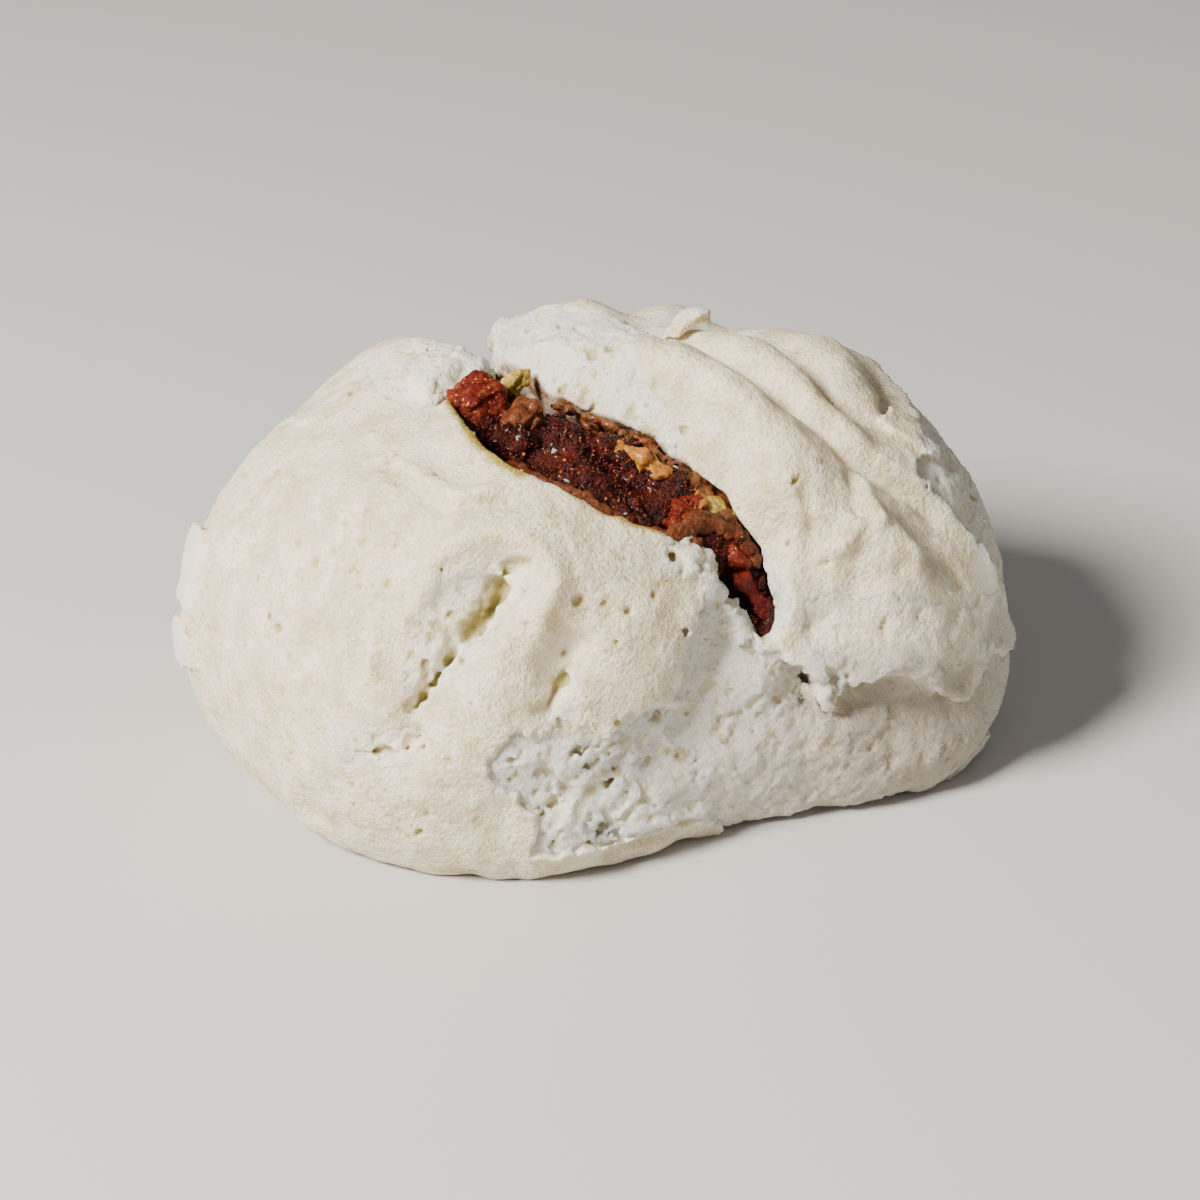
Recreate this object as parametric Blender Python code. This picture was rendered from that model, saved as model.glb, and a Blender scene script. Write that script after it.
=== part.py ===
"""A steamed barbecue-pork bun, torn open across the top.

The bun is a dome of dough seen as a globe: a point on its skin has a longitude, counted from +X
towards +Y, and a latitude above the belt, where the bun is widest. Lobes, pleats and hollows are added
to the globe's radius. The tear is cut out of the dome as a lofted wedge that runs from the back left
over the crown to the front right, and the pork filling lies in a cavity under it, so that it shows
along the whole tear.
"""

import math

import bmesh
import bpy
from mathutils import Vector

MM = 0.001

# Driving dimensions of the dome, in millimetres.
CROWN_HEIGHT = 46.0
BELT_HEIGHT = 12.0
UNDERSIDE_REACH = 20.0
UPPER_FULLNESS = 2.3
LOWER_FULLNESS = 2.6
FLOOR_RING = 0.5

# The skin's grid. Its columns stand closer together round the pleats, at the front right.
SEGMENTS = 92
RINGS = 32
DENSEST_LONGITUDE = -45.0
CROWDING = 0.3

# Reach of the belt from the centre at each longitude in degrees. The bun is flattened where the
# dough tore away, at the front right.
BELT_REACH = {
    -160: 41.0, -130: 38.8, -100: 33.0, -80: 28.8, -60: 26.8, -40: 30.2, -20: 39.8,
    0: 44.2, 30: 44.0, 60: 39.5, 90: 40.0, 120: 41.5, 150: 42.0, 180: 45.0,
}

# Relief of the skin: height and width in millimetres, then the line it follows as longitudes and
# latitudes. A height below zero is a crease or a hollow.
GLOBE_RADIUS = 34.0
WIDEST_FOLD = 4.0
FOLD_END = 0.35
FOLD_END_RISE = 4.0
RELIEF = (
    # Broad swells of the two lobes, and the near lobe's low back corner beside the tear.
    (2.0, 7.5, ((92, 64), (70, 76), (-5, 76), (-30, 64), (-36, 50))),
    (-1.8, 7.5, ((-172, 42), (172, 42))),
    (-3.0, 6.0, ((128, 66), (130, 58))),
    (1.8, 6.0, ((150, 52), (152, 44))),
    (1.6, 7.0, ((62, 46), (35, 40))),
    (1.2, 6.0, ((-155, 40), (-130, 43), (-105, 41), (-82, 34), (-68, 28))),
    (1.0, 8.0, ((-150, 5), (-115, 0), (-95, -8))),
    (1.3, 7.0, ((-14, -14), (0, -14))),
    # Pleats of the far lobe, over the crown and down to the right, each with the roll beside it.
    (-2.0, 2.0, ((88, 40), (82, 56), (57, 74), (15, 74), (-8, 67), (-19, 55), (-23, 45), (-20, 34),
                 (-18, 22))),
    (1.0, 2.8, ((30, 66), (0, 61), (-13, 52), (-15, 44))),
    (-1.6, 1.9, ((62, 38), (54, 52), (36, 60), (14, 55), (-6, 52), (-10, 45), (-6, 39))),
    (1.3, 3.2, ((32, 50), (10, 48), (2, 46))),
    (-1.2, 1.8, ((34, 41), (14, 41), (0, 42))),
    (0.9, 3.0, ((74, 58), (72, 44), (74, 30))),
    # A fan of short folds where the far lobe turns down to its hem.
    (1.4, 2.8, ((-23, 41), (-27, 32), (-26, 22))),
    (-1.0, 1.6, ((-28, 41), (-31, 33), (-33, 25))),
    (0.9, 1.8, ((-32, 38), (-36, 29))),
    (-0.9, 1.6, ((-30, 40), (-38, 36), (-40, 28))),
    # The near lobe: a wrinkle above its shoulder, a bow of stretched skin, a crack and two dents.
    (-0.8, 2.0, ((-150, 49), (-134, 50), (-118, 50))),
    (1.3, 2.0, ((-124, 33), (-120, 40), (-112, 43), (-104, 43), (-99, 38), (-101, 30))),
    (-1.8, 1.9, ((-106, 40), (-111, 33), (-116, 20), (-121, 8), (-126, 5))),
    (-1.3, 2.6, ((-93, 30), (-97, 21), (-98, 13))),
    # Hollows where crumb tore away: under the near lobe's hem and under the far lobe's hem.
    (-1.5, 5.0, ((-104, -2), (-88, -3), (-76, 6), (-68, 18), (-60, 26))),
    (-1.8, 3.6, ((-44, 8), (-34, 6), (-27, -1), (-19, 2), (-13, 5))),
    (-1.2, 3.5, ((-16, 32), (-14, 22), (-10, 12))),
)

# The tear, as four curves from its back left end to its front right end, in millimetres: the rim and
# the foot of the near lobe's wall, then the foot and the rim of the far lobe's wall.
NEAR_RIM = (
    (-13.0, 24.0, 39.4), (-14.0, 12.0, 44.8), (-14.8, 2.5, 45.2), (-15.6, -6.0, 44.2),
    (-12.2, -15.2, 42.6), (-5.4, -20.4, 40.5), (2.5, -21.8, 37.2), (9.2, -20.9, 33.6),
    (13.4, -21.6, 28.4), (18.4, -22.6, 22.2),
)
NEAR_FOOT = (
    (-12.7, 23.6, 37.4), (-12.9, 13.0, 38.8), (-13.8, 3.5, 39.4), (-13.6, -4.5, 39.0),
    (-10.6, -12.6, 37.8), (-4.6, -17.4, 35.6), (2.2, -18.8, 32.8), (8.2, -17.6, 29.8),
    (11.8, -18.4, 25.6), (16.8, -20.0, 21.4),
)
FAR_FOOT = (
    (-12.2, 23.6, 37.4), (-11.8, 14.0, 39.0), (-11.2, 7.0, 40.6), (-9.8, 0.0, 40.8),
    (-5.4, -5.2, 40.2), (0.5, -8.0, 39.2), (7.0, -10.6, 37.6), (12.6, -14.0, 34.0),
    (16.4, -16.6, 28.8), (18.2, -19.6, 22.4),
)
FAR_RIM = (
    (-11.8, 24.0, 39.4), (-10.6, 14.0, 45.2), (-10.0, 10.0, 46.4), (-6.4, 5.0, 47.2),
    (-1.6, 0.0, 47.4), (4.6, -3.4, 46.6), (10.6, -7.6, 43.6), (15.6, -12.8, 38.6),
    (19.4, -17.4, 30.6), (20.6, -21.8, 22.8),
)
WEDGE_BITE = 2.5
WEDGE_BITE_EASE = 0.5
WEDGE_OVERSHOOT = 8.0
WEDGE_STATIONS = 22

# The filling: centres of its cross sections along the tear, then half their width, their height above
# the centre and their depth below it.
FILLING_SPINE = (
    (-12.6, 7.0, 37.6), (-12.8, 1.5, 38.6), (-10.2, -5.5, 37.2), (-5.0, -10.6, 35.4),
    (1.5, -13.4, 33.2), (7.6, -14.0, 30.6), (12.0, -14.4, 27.2), (15.0, -16.0, 24.0),
    (17.0, -17.4, 21.2),
)
FILLING_HALF_WIDTH = (4.4, 6.0, 7.6, 8.6, 8.8, 7.6, 6.0, 4.4, 3.0)
FILLING_RISE = (3.4, 6.0, 6.0, 5.8, 5.6, 5.2, 4.8, 3.8, 2.6)
FILLING_DEPTH = (3.4, 6.5, 10.0, 13.0, 14.0, 11.5, 8.0, 4.5, 2.6)
FILLING_STATIONS = 28
FILLING_SIDES = 24
FILLING_SQUARENESS = 2.5
END_BLUNTNESS = 0.35
END_BULGE = 0.5
TANGENT_STEP = 0.1
CLEARANCE = 0.35

# Lumps of the filling: height in millimetres, waves along one step of the spine, waves round the
# section and the phase along the spine. The dice heap stands beside the second point of the spine.
LUMPS = ((0.55, 2.6, 3.0, 1.3), (0.44, 5.3, 4.0, 0.0))
LUMP_TWIST = 2.1
DICE_HEIGHT = 1.5
DICE_PLACE = 1.1
DICE_SPREAD = 0.7

DOUGH_COLOUR = (0.80, 0.76, 0.68)
DOUGH_ROUGHNESS = 0.55
FILLING_COLOUR = (0.16, 0.030, 0.014)
FILLING_ROUGHNESS = 0.25


def hermite(values, place):
    """Smooth curve through evenly spaced values, read at a place between 0 and their count less 1."""
    step = min(int(place), len(values) - 2)
    share = place - step
    before = values[max(step - 1, 0)]
    start = values[step]
    end = values[step + 1]
    after = values[min(step + 2, len(values) - 1)]
    slope_in = (end - before) * 0.5
    slope_out = (after - start) * 0.5
    return (
        start * (2 * share**3 - 3 * share**2 + 1)
        + slope_in * (share**3 - 2 * share**2 + share)
        + end * (3 * share**2 - 2 * share**3)
        + slope_out * (share**3 - share**2)
    )


def belt_reach(longitude):
    """Smooth closed curve through BELT_REACH."""
    angles = sorted(BELT_REACH)
    wrapped = (longitude + 180.0) % 360.0 - 180.0
    if wrapped < angles[0]:
        wrapped += 360.0
    step = max(k for k, angle in enumerate(angles) if angle <= wrapped)
    following = angles[step + 1] if step + 1 < len(angles) else angles[0] + 360.0
    around = [BELT_REACH[angles[(step + k) % len(angles)]] for k in (-1, 0, 1, 2)]
    return hermite(around, 1.0 + (wrapped - angles[step]) / (following - angles[step]))


def direction(longitude, latitude):
    lon = math.radians(longitude)
    lat = math.radians(latitude)
    return Vector((math.cos(lat) * math.cos(lon), math.cos(lat) * math.sin(lon), math.sin(lat)))


def place_on_line(point, line):
    """Distance from a point to a line of directions, and how far along the line the nearest place is."""
    nearest = (math.inf, 0.0)
    for step, (start, end) in enumerate(zip(line, line[1:])):
        along = end - start
        share = min(max((point - start).dot(along) / along.length_squared, 0.0), 1.0)
        gap = (point - start - along * share).length
        nearest = min(nearest, (gap, (step + share) / (len(line) - 1)))
    return nearest


RELIEF_LINES = [
    (height, width, [direction(*place) for place in line]) for height, width, line in RELIEF
]


def relief(outward):
    """Height of the swells, pleats and hollows in one direction. Folds run out at their ends."""
    total = 0.0
    for height, width, line in RELIEF_LINES:
        gap, along = place_on_line(outward, line)
        run = FOLD_END + FOLD_END_RISE * min(along, 1.0 - along)
        fade = 1.0 if width > WIDEST_FOLD else min(1.0, run)
        total += height * fade * math.exp(-((gap * GLOBE_RADIUS / width) ** 2))
    return total


def dome_radius(longitude, latitude):
    """Distance from the belt's centre to the plain dome, a superellipse in each half."""
    above = latitude >= 0.0
    height = CROWN_HEIGHT - BELT_HEIGHT if above else UNDERSIDE_REACH
    fullness = UPPER_FULLNESS if above else LOWER_FULLNESS
    across = abs(math.cos(math.radians(latitude))) / belt_reach(longitude)
    upright = abs(math.sin(math.radians(latitude))) / height
    return (across**fullness + upright**fullness) ** (-1.0 / fullness)


def skin_point(longitude, latitude):
    outward = direction(longitude, latitude)
    return Vector((0.0, 0.0, BELT_HEIGHT)) + outward * (
        dome_radius(longitude, latitude) + relief(outward)
    )


def contact_latitude(longitude):
    """Latitude at which the plain dome meets the table."""
    share = (1.0 - (BELT_HEIGHT / UNDERSIDE_REACH) ** LOWER_FULLNESS) ** (1.0 / LOWER_FULLNESS)
    return -math.degrees(math.atan2(BELT_HEIGHT, belt_reach(longitude) * share))


def skin_object(name, rows, start_pole, end_pole):
    """Closed mesh through rows of points, each a ring, from one pole to the other."""
    mesh = bmesh.new()
    rings = [[mesh.verts.new(point * MM) for point in row] for row in rows]
    first = mesh.verts.new(start_pole * MM)
    last = mesh.verts.new(end_pole * MM)
    count = len(rings[0])
    for lower, upper in zip(rings, rings[1:]):
        for k in range(count):
            after = (k + 1) % count
            mesh.faces.new((lower[k], lower[after], upper[after], upper[k]))
    for k in range(count):
        after = (k + 1) % count
        mesh.faces.new((rings[0][after], rings[0][k], first))
        mesh.faces.new((rings[-1][k], rings[-1][after], last))
    bmesh.ops.recalc_face_normals(mesh, faces=mesh.faces)
    data = bpy.data.meshes.new(name)
    mesh.to_mesh(data)
    mesh.free()
    data.shade_smooth()
    item = bpy.data.objects.new(name, data)
    bpy.context.scene.collection.objects.link(item)
    return item


def grid_longitude(column):
    even = math.tau * column / SEGMENTS
    crowded = even - CROWDING * math.sin(even - math.radians(DENSEST_LONGITUDE))
    return math.degrees(crowded)


def build_dome():
    sides = []
    for step in range(RINGS):
        ring = []
        for column in range(SEGMENTS):
            longitude = grid_longitude(column)
            low = contact_latitude(longitude)
            ring.append(skin_point(longitude, low + (90.0 - low) * step / RINGS))
        sides.append(ring)
    for point in sides[0]:
        point.z = 0.0
    floor = [point * FLOOR_RING for point in sides[0]]
    return skin_object("dough", [floor, *sides], Vector(), skin_point(0.0, 90.0))


def outward_from_core(point):
    return (point - Vector((0.0, 0.0, BELT_HEIGHT))).normalized()


def build_tear():
    """Wedge between the two lobes' walls, from inside the filling to above the skin."""
    curves = [[Vector(p) for p in c] for c in (NEAR_RIM, NEAR_FOOT, FAR_FOOT, FAR_RIM)]
    rows = []
    for step in range(WEDGE_STATIONS + 1):
        part = step / WEDGE_STATIONS
        near_rim, near_foot, far_foot, far_rim = (
            hermite(curve, part * (len(curve) - 1)) for curve in curves
        )
        near_wall = (near_rim - near_foot).normalized()
        far_wall = (far_rim - far_foot).normalized()
        up = outward_from_core((near_rim + far_rim) / 2.0)
        middle = (near_foot + far_foot) / 2.0
        rows.append([
            near_foot,
            near_rim,
            near_rim + near_wall * WEDGE_OVERSHOOT,
            far_rim + (up + far_wall).normalized() * WEDGE_OVERSHOOT,
            far_rim,
            far_foot,
            middle - up * WEDGE_BITE * math.sin(math.pi * part) ** WEDGE_BITE_EASE,
        ])
    ends = [sum(row, Vector()) / len(row) for row in (rows[0], rows[-1])]
    return skin_object("tear", rows, *ends)


def filling_swell(place, angle):
    """Height of the lumps and of the heap of pork dice on the filling."""
    twist = LUMP_TWIST * place
    swell = sum(
        height * math.sin(along * place + phase) * math.sin(around * angle + twist)
        for height, along, around, phase in LUMPS
    )
    heap = math.exp(-(((place - DICE_PLACE) / DICE_SPREAD) ** 2))
    return swell + DICE_HEIGHT * heap * max(math.sin(angle), 0.0) ** 2


def build_filling(name, growth):
    """Lumpy length of filling along the tear. Growth moves its whole surface outwards."""
    spine = [Vector(point) for point in FILLING_SPINE]
    last = len(spine) - 1
    rows = []
    for step in range(FILLING_STATIONS + 1):
        turn = math.pi * step / FILLING_STATIONS
        place = last * (1.0 - math.cos(turn)) / 2.0
        middle = hermite(spine, place)
        ahead = hermite(spine, min(place + TANGENT_STEP, last))
        behind = hermite(spine, max(place - TANGENT_STEP, 0.0))
        tangent = (ahead - behind).normalized()
        across = tangent.cross(outward_from_core(middle)).normalized()
        up = across.cross(tangent)
        round_end = max(math.sin(turn), 0.0) ** END_BLUNTNESS
        half_width = hermite(FILLING_HALF_WIDTH, place) * round_end
        above = hermite(FILLING_RISE, place) * round_end
        below = hermite(FILLING_DEPTH, place) * round_end
        ring = []
        for k in range(FILLING_SIDES):
            angle = math.tau * k / FILLING_SIDES
            side = math.cos(angle)
            rise = math.sin(angle)
            scale = (abs(side) ** FILLING_SQUARENESS + abs(rise) ** FILLING_SQUARENESS) ** (
                -1.0 / FILLING_SQUARENESS
            )
            swell = growth + filling_swell(place, angle) * round_end
            ring.append(
                middle
                + across * (side * (scale * half_width + swell))
                + up * (rise * (scale * (above if rise > 0.0 else below) + swell))
            )
        rows.append(ring)
    rows = rows[1:-1]
    bulge = END_BULGE + growth
    start = sum(rows[0], Vector()) / FILLING_SIDES - (spine[1] - spine[0]).normalized() * bulge
    end = sum(rows[-1], Vector()) / FILLING_SIDES + (spine[-1] - spine[-2]).normalized() * bulge
    return skin_object(name, rows, start, end)


def cut(item, cutter):
    """Takes the cutter out of the item. The cutter stays as a hidden guide."""
    boolean = item.modifiers.new(cutter.name, "BOOLEAN")
    boolean.object = cutter
    boolean.operation = "DIFFERENCE"
    boolean.solver = "EXACT"
    cutter.hide_render = True
    cutter.display_type = "WIRE"


def paint(item, colour, roughness):
    material = bpy.data.materials.new(item.name)
    material.use_nodes = True
    shader = material.node_tree.nodes["Principled BSDF"]
    shader.inputs["Base Color"].default_value = (*colour, 1.0)
    shader.inputs["Roughness"].default_value = roughness
    shader.inputs["Metallic"].default_value = 0.0
    item.data.materials.append(material)


def stand_on_origin(items, outline):
    """Moves the items so that the origin is at the bottom centre of the outline's box."""
    for axis in (0, 1):
        reach = [corner[axis] for corner in outline.bound_box]
        for item in items:
            item.location[axis] = -(min(reach) + max(reach)) / 2.0


for leftover in list(bpy.data.objects):
    bpy.data.objects.remove(leftover)
dough = build_dome()
filling = build_filling("filling", 0.0)
tear = build_tear()
cavity = build_filling("cavity", CLEARANCE)
stand_on_origin((dough, filling, tear, cavity), dough)
cut(dough, tear)
cut(dough, cavity)
paint(dough, DOUGH_COLOUR, DOUGH_ROUGHNESS)
paint(filling, FILLING_COLOUR, FILLING_ROUGHNESS)
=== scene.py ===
# %% [markdown]
# # A barbecue-pork bun, torn open
#
# A steamed bun is soft, matte and white outside. Where it tears, the skin lifts in a thin ragged hem and
# shows a fluffy crumb full of pores. Inside lies diced pork in a dark sweet sauce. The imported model
# already holds both solids at their real size. This lesson gives them their looks: it reads the solids
# as a frame, carves the fine surface over them and never moves them.

# %% Load the frame
import itertools
import math
import time

import bmesh
import bpy
import numpy as np
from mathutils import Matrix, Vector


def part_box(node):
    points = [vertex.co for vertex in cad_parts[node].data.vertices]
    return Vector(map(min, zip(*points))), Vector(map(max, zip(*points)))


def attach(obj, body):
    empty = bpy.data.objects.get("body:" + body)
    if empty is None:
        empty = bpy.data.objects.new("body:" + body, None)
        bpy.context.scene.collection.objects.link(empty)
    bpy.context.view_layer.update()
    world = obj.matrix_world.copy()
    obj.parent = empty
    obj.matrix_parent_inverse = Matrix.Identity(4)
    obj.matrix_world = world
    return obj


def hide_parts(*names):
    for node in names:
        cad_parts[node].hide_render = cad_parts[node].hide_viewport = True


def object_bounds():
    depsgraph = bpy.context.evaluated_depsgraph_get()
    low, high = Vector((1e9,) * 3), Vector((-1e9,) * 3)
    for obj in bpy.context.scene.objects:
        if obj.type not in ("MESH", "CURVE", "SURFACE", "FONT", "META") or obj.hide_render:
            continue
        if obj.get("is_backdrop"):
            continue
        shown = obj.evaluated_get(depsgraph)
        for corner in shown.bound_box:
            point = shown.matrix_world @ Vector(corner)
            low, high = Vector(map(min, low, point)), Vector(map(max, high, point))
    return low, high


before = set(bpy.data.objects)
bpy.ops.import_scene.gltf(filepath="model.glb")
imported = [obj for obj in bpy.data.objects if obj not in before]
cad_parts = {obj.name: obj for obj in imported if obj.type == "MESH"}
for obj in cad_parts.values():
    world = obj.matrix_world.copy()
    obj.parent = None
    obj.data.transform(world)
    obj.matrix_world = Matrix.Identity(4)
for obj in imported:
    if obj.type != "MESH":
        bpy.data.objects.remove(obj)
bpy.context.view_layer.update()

import openvdb
from mathutils import Vector
from mathutils.bvhtree import BVHTree

MM = 0.001
started = time.time()


def report(words, *values):
    print(f"{time.time() - started:6.1f} s  {words}", *values)


report("nodes", sorted(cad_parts))

# %% [markdown]
# ## A globe to find places by
#
# The bun is a dome, so a place on it is easiest to name as on a globe: a longitude, counted from +X
# towards +Y, and a latitude above the belt. The globe's centre stands a fixed way above the table, and
# its distance from the front of the bun comes from the frame. A line on the skin is then a short list
# of longitudes and latitudes.

# %% The globe's centre and its directions
CENTRE_X = 0.1
BELT_HEIGHT = 12.0
FRONT_TO_CENTRE = 33.3

dough_low = np.array(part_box("dough")[0]) / MM
CORE = np.array([CENTRE_X, dough_low[1] + FRONT_TO_CENTRE, BELT_HEIGHT], np.float32)


def direction(longitude, latitude):
    lon = math.radians(longitude)
    lat = math.radians(latitude)
    return (math.cos(lat) * math.cos(lon), math.cos(lat) * math.sin(lon), math.sin(lat))


def directions(places):
    return np.array([direction(*place) for place in places], np.float32)


report("globe centre in mm", CORE.round(2))

# %% [markdown]
# ## Camera, floor and light
#
# The bun is seen a little from above with a long lens, so that it isn't distorted. A big soft lamp high
# on the left gives the pale skin its gentle shading, and leaves the torn right side in shade.

# %% Camera
VIEW_ELEVATION = math.radians(27.0)
VIEW_DISTANCE = 0.358
SENSOR_MM = 36.0
LENS_MM = 100.0
AIM_ABOVE_CORE = 5.0

aim = Vector((CORE[0], CORE[1], CORE[2] + AIM_ABOVE_CORE)) * MM
camera_data = bpy.data.cameras.new("camera")
camera_data.lens = LENS_MM
camera_data.sensor_width = SENSOR_MM
camera = bpy.data.objects.new("camera", camera_data)
camera.location = aim + Vector((0.0, -math.cos(VIEW_ELEVATION), math.sin(VIEW_ELEVATION))) * VIEW_DISTANCE
camera.rotation_euler = (math.pi / 2.0 - VIEW_ELEVATION, 0.0, 0.0)
bpy.context.scene.collection.objects.link(camera)
bpy.context.scene.camera = camera

# %% Floor and lamps
FLOOR_SIZE = 3.0
FLOOR_COLOUR = (0.52, 0.51, 0.50, 1.0)
SKY_COLOUR = (0.95, 0.93, 0.90, 1.0)
SKY_STRENGTH = 0.24


def area_lamp(name, place, size, power, colour):
    lamp = bpy.data.lights.new(name, "AREA")
    lamp.shape = "DISK"
    lamp.size = size
    lamp.energy = power
    lamp.color = colour
    item = bpy.data.objects.new(name, lamp)
    item.location = place
    item.rotation_euler = (aim - Vector(place)).to_track_quat("-Z", "Y").to_euler()
    bpy.context.scene.collection.objects.link(item)


def make_floor():
    mesh = bmesh.new()
    bmesh.ops.create_grid(mesh, x_segments=1, y_segments=1, size=FLOOR_SIZE)
    data = bpy.data.meshes.new("floor")
    mesh.to_mesh(data)
    mesh.free()
    item = bpy.data.objects.new("floor", data)
    bpy.context.scene.collection.objects.link(item)
    material = bpy.data.materials.new("floor")
    material.use_nodes = True
    shader = material.node_tree.nodes["Principled BSDF"]
    shader.inputs["Base Color"].default_value = FLOOR_COLOUR
    shader.inputs["Roughness"].default_value = 0.8
    data.materials.append(material)
    item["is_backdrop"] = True


make_floor()
area_lamp("key", (-0.43, -0.37, 0.49), 0.24, 18.0, (1.0, 0.955, 0.87))
area_lamp("fill", (0.5, -0.6, 0.35), 0.6, 0.5, (1.0, 0.98, 0.96))
world = bpy.data.worlds.new("studio")
world.use_nodes = True
sky = world.node_tree.nodes["Background"]
sky.inputs["Color"].default_value = SKY_COLOUR
sky.inputs["Strength"].default_value = SKY_STRENGTH
bpy.context.scene.world = world
report("camera, floor and lamps stand")

# %% [markdown]
# ## Carving with a distance field
#
# Torn bread is all small holes, flakes and undercut edges. Moving the points of a mesh can't make
# those, but a distance field can. It is a grid of numbers that each say how far the place is from the
# surface, below zero inside. Adding to the numbers takes dough away, the smaller of two fields joins
# two shapes, and the larger of one field and another turned inside out cuts. OpenVDB, which comes with
# Blender, turns a mesh into such a grid and back.

# %% A grid of voxels
OUTER_BAND = 2.5
INNER_BAND = 5.0


class Grid:
    """A box of voxels, with places in millimetres."""

    def __init__(self, voxel, corner, size):
        self.voxel = voxel
        self.corner = corner
        self.size = size

    def first(self):
        return tuple(int(value) for value in self.corner)

    def field(self, points, triangles):
        """Dense distance field round a mesh."""
        grid = openvdb.FloatGrid.createLevelSetFromPolygons(
            points, triangles=triangles, transform=openvdb.createLinearTransform(voxelSize=self.voxel),
            exBandWidth=OUTER_BAND / self.voxel, inBandWidth=INNER_BAND / self.voxel,
        )
        dense = np.full(self.size, OUTER_BAND, np.float32)
        grid.copyToArray(dense, ijk=self.first())
        return dense

    def index(self, place):
        """Voxel that holds a place."""
        return (np.array(place) / self.voxel).astype(int) - self.corner

    def places(self, spots):
        return ((np.stack(spots, 1) + self.corner) * self.voxel).astype(np.float32)

    def read(self, dense, places):
        """Values of a field at any places, mixed from the eight voxels round each."""
        spots = places / self.voxel - self.corner
        cells = np.clip(np.floor(spots).astype(int), 0, self.size - 2)
        share = (spots - cells).astype(np.float32)
        total = np.zeros(len(places), np.float32)
        for step in itertools.product((0, 1), repeat=3):
            weight = np.prod([share[:, a] if step[a] else 1.0 - share[:, a] for a in range(3)], axis=0)
            total += weight * dense[tuple(cells[:, a] + step[a] for a in range(3))]
        return total

    def taken_from(self, other, dense):
        """Another grid's field, read at each voxel of this grid."""
        for axis in range(3):
            spots = (np.arange(self.size[axis]) + self.corner[axis]) * self.voxel / other.voxel
            spots = np.clip(spots - other.corner[axis], 0.0, other.size[axis] - 1.001)
            low = spots.astype(int)
            shape = [1, 1, 1]
            shape[axis] = len(low)
            share = (spots - low).astype(np.float32).reshape(shape)
            dense = np.take(dense, low, axis) * (1.0 - share) + np.take(dense, low + 1, axis) * share
        return dense

    def blurred(self, dense, radius):
        """Gaussian blur of a field, one axis after another."""
        sigma = radius / self.voxel
        reach = int(math.ceil(2.3 * sigma))
        weights = np.exp(-0.5 * (np.arange(-reach, reach + 1) / sigma) ** 2)
        weights = (weights / weights.sum()).astype(np.float32)
        for axis in range(3):
            room = [(reach, reach) if a == axis else (0, 0) for a in range(3)]
            padded = np.pad(dense, room, mode="edge")
            dense = np.zeros_like(dense)
            for step, weight in enumerate(weights):
                window = [slice(None)] * 3
                window[axis] = slice(step, step + dense.shape[axis])
                dense += weight * padded[tuple(window)]
        return dense

    def surface(self, dense):
        """Points and quads where a field is zero."""
        grid = openvdb.FloatGrid(background=OUTER_BAND)
        grid.copyFromArray(np.ascontiguousarray(dense), ijk=self.first())
        grid.transform = openvdb.createLinearTransform(voxelSize=self.voxel)
        points, quads = grid.convertToQuads()
        return points, quads.astype(np.int64)


def grid_over(voxel, low, high):
    """Grid that reaches from one corner to the other, in millimetres."""
    corner = np.floor(np.array(low) / voxel).astype(int)
    return Grid(voxel, corner, np.ceil(np.array(high) / voxel).astype(int) - corner)

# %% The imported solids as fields
DOUGH_VOXEL = 0.28
MARGIN = 3.0


def plain_mesh(node):
    """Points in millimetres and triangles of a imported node, with its doubled corners merged."""
    mesh = bmesh.new()
    mesh.from_mesh(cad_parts[node].data)
    bmesh.ops.remove_doubles(mesh, verts=mesh.verts, dist=1e-6)
    bmesh.ops.triangulate(mesh, faces=mesh.faces)
    points = np.array([vert.co for vert in mesh.verts], np.float32) / MM
    triangles = np.array([[vert.index for vert in face.verts] for face in mesh.faces], np.uint32)
    mesh.free()
    return points, triangles


dough_mesh = plain_mesh("dough")
filling_mesh = plain_mesh("filling")
dough_grid = grid_over(DOUGH_VOXEL, dough_mesh[0].min(0) - MARGIN, dough_mesh[0].max(0) + MARGIN)
raw_dough = dough_grid.field(*dough_mesh)
raw_filling = dough_grid.field(*filling_mesh)
report("grid of the dough", raw_dough.shape)

# %% Blur the facets away
SKIN_BLUR = 0.9
CRUMB_BLUR = 0.35

smooth_dough = dough_grid.blurred(raw_dough, SKIN_BLUR)
crisp_dough = dough_grid.blurred(raw_dough, CRUMB_BLUR)
report("blurred the facets away")

# %% [markdown]
# ## Lumps and bubbles
#
# Nothing on a bun is even. Two kinds of pattern make it so: smooth random lumps of a chosen size, and
# bubbles, which are balls at scattered places, one to each cell of a loose lattice. Both come from
# seeded tables, so that each run gives the same bun.

# %% Random lumps
TABLE = 64
TURN = np.array([[0.36, 0.48, -0.80], [-0.80, 0.60, 0.0], [0.48, 0.64, 0.60]], np.float32)


def lumps(places, size, seed):
    """Smooth noise from -1 to 1 with lumps about size millimetres across."""
    table = np.random.default_rng(seed).uniform(-1.0, 1.0, (TABLE,) * 3).astype(np.float32)
    spots = places @ TURN / np.float32(size)
    cells = np.floor(spots)
    share = spots - cells
    share = share * share * (3.0 - 2.0 * share)
    cells = cells.astype(np.int32)
    low = [cells[:, a] & (TABLE - 1) for a in range(3)]
    high = [(cells[:, a] + 1) & (TABLE - 1) for a in range(3)]
    total = np.zeros(len(places), np.float32)
    for step in itertools.product((0, 1), repeat=3):
        index = tuple(high[a] if step[a] else low[a] for a in range(3))
        weight = np.ones(len(places), np.float32)
        for a in range(3):
            weight *= share[:, a] if step[a] else 1.0 - share[:, a]
        total += weight * table[index]
    return total

# %% Bubbles


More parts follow.
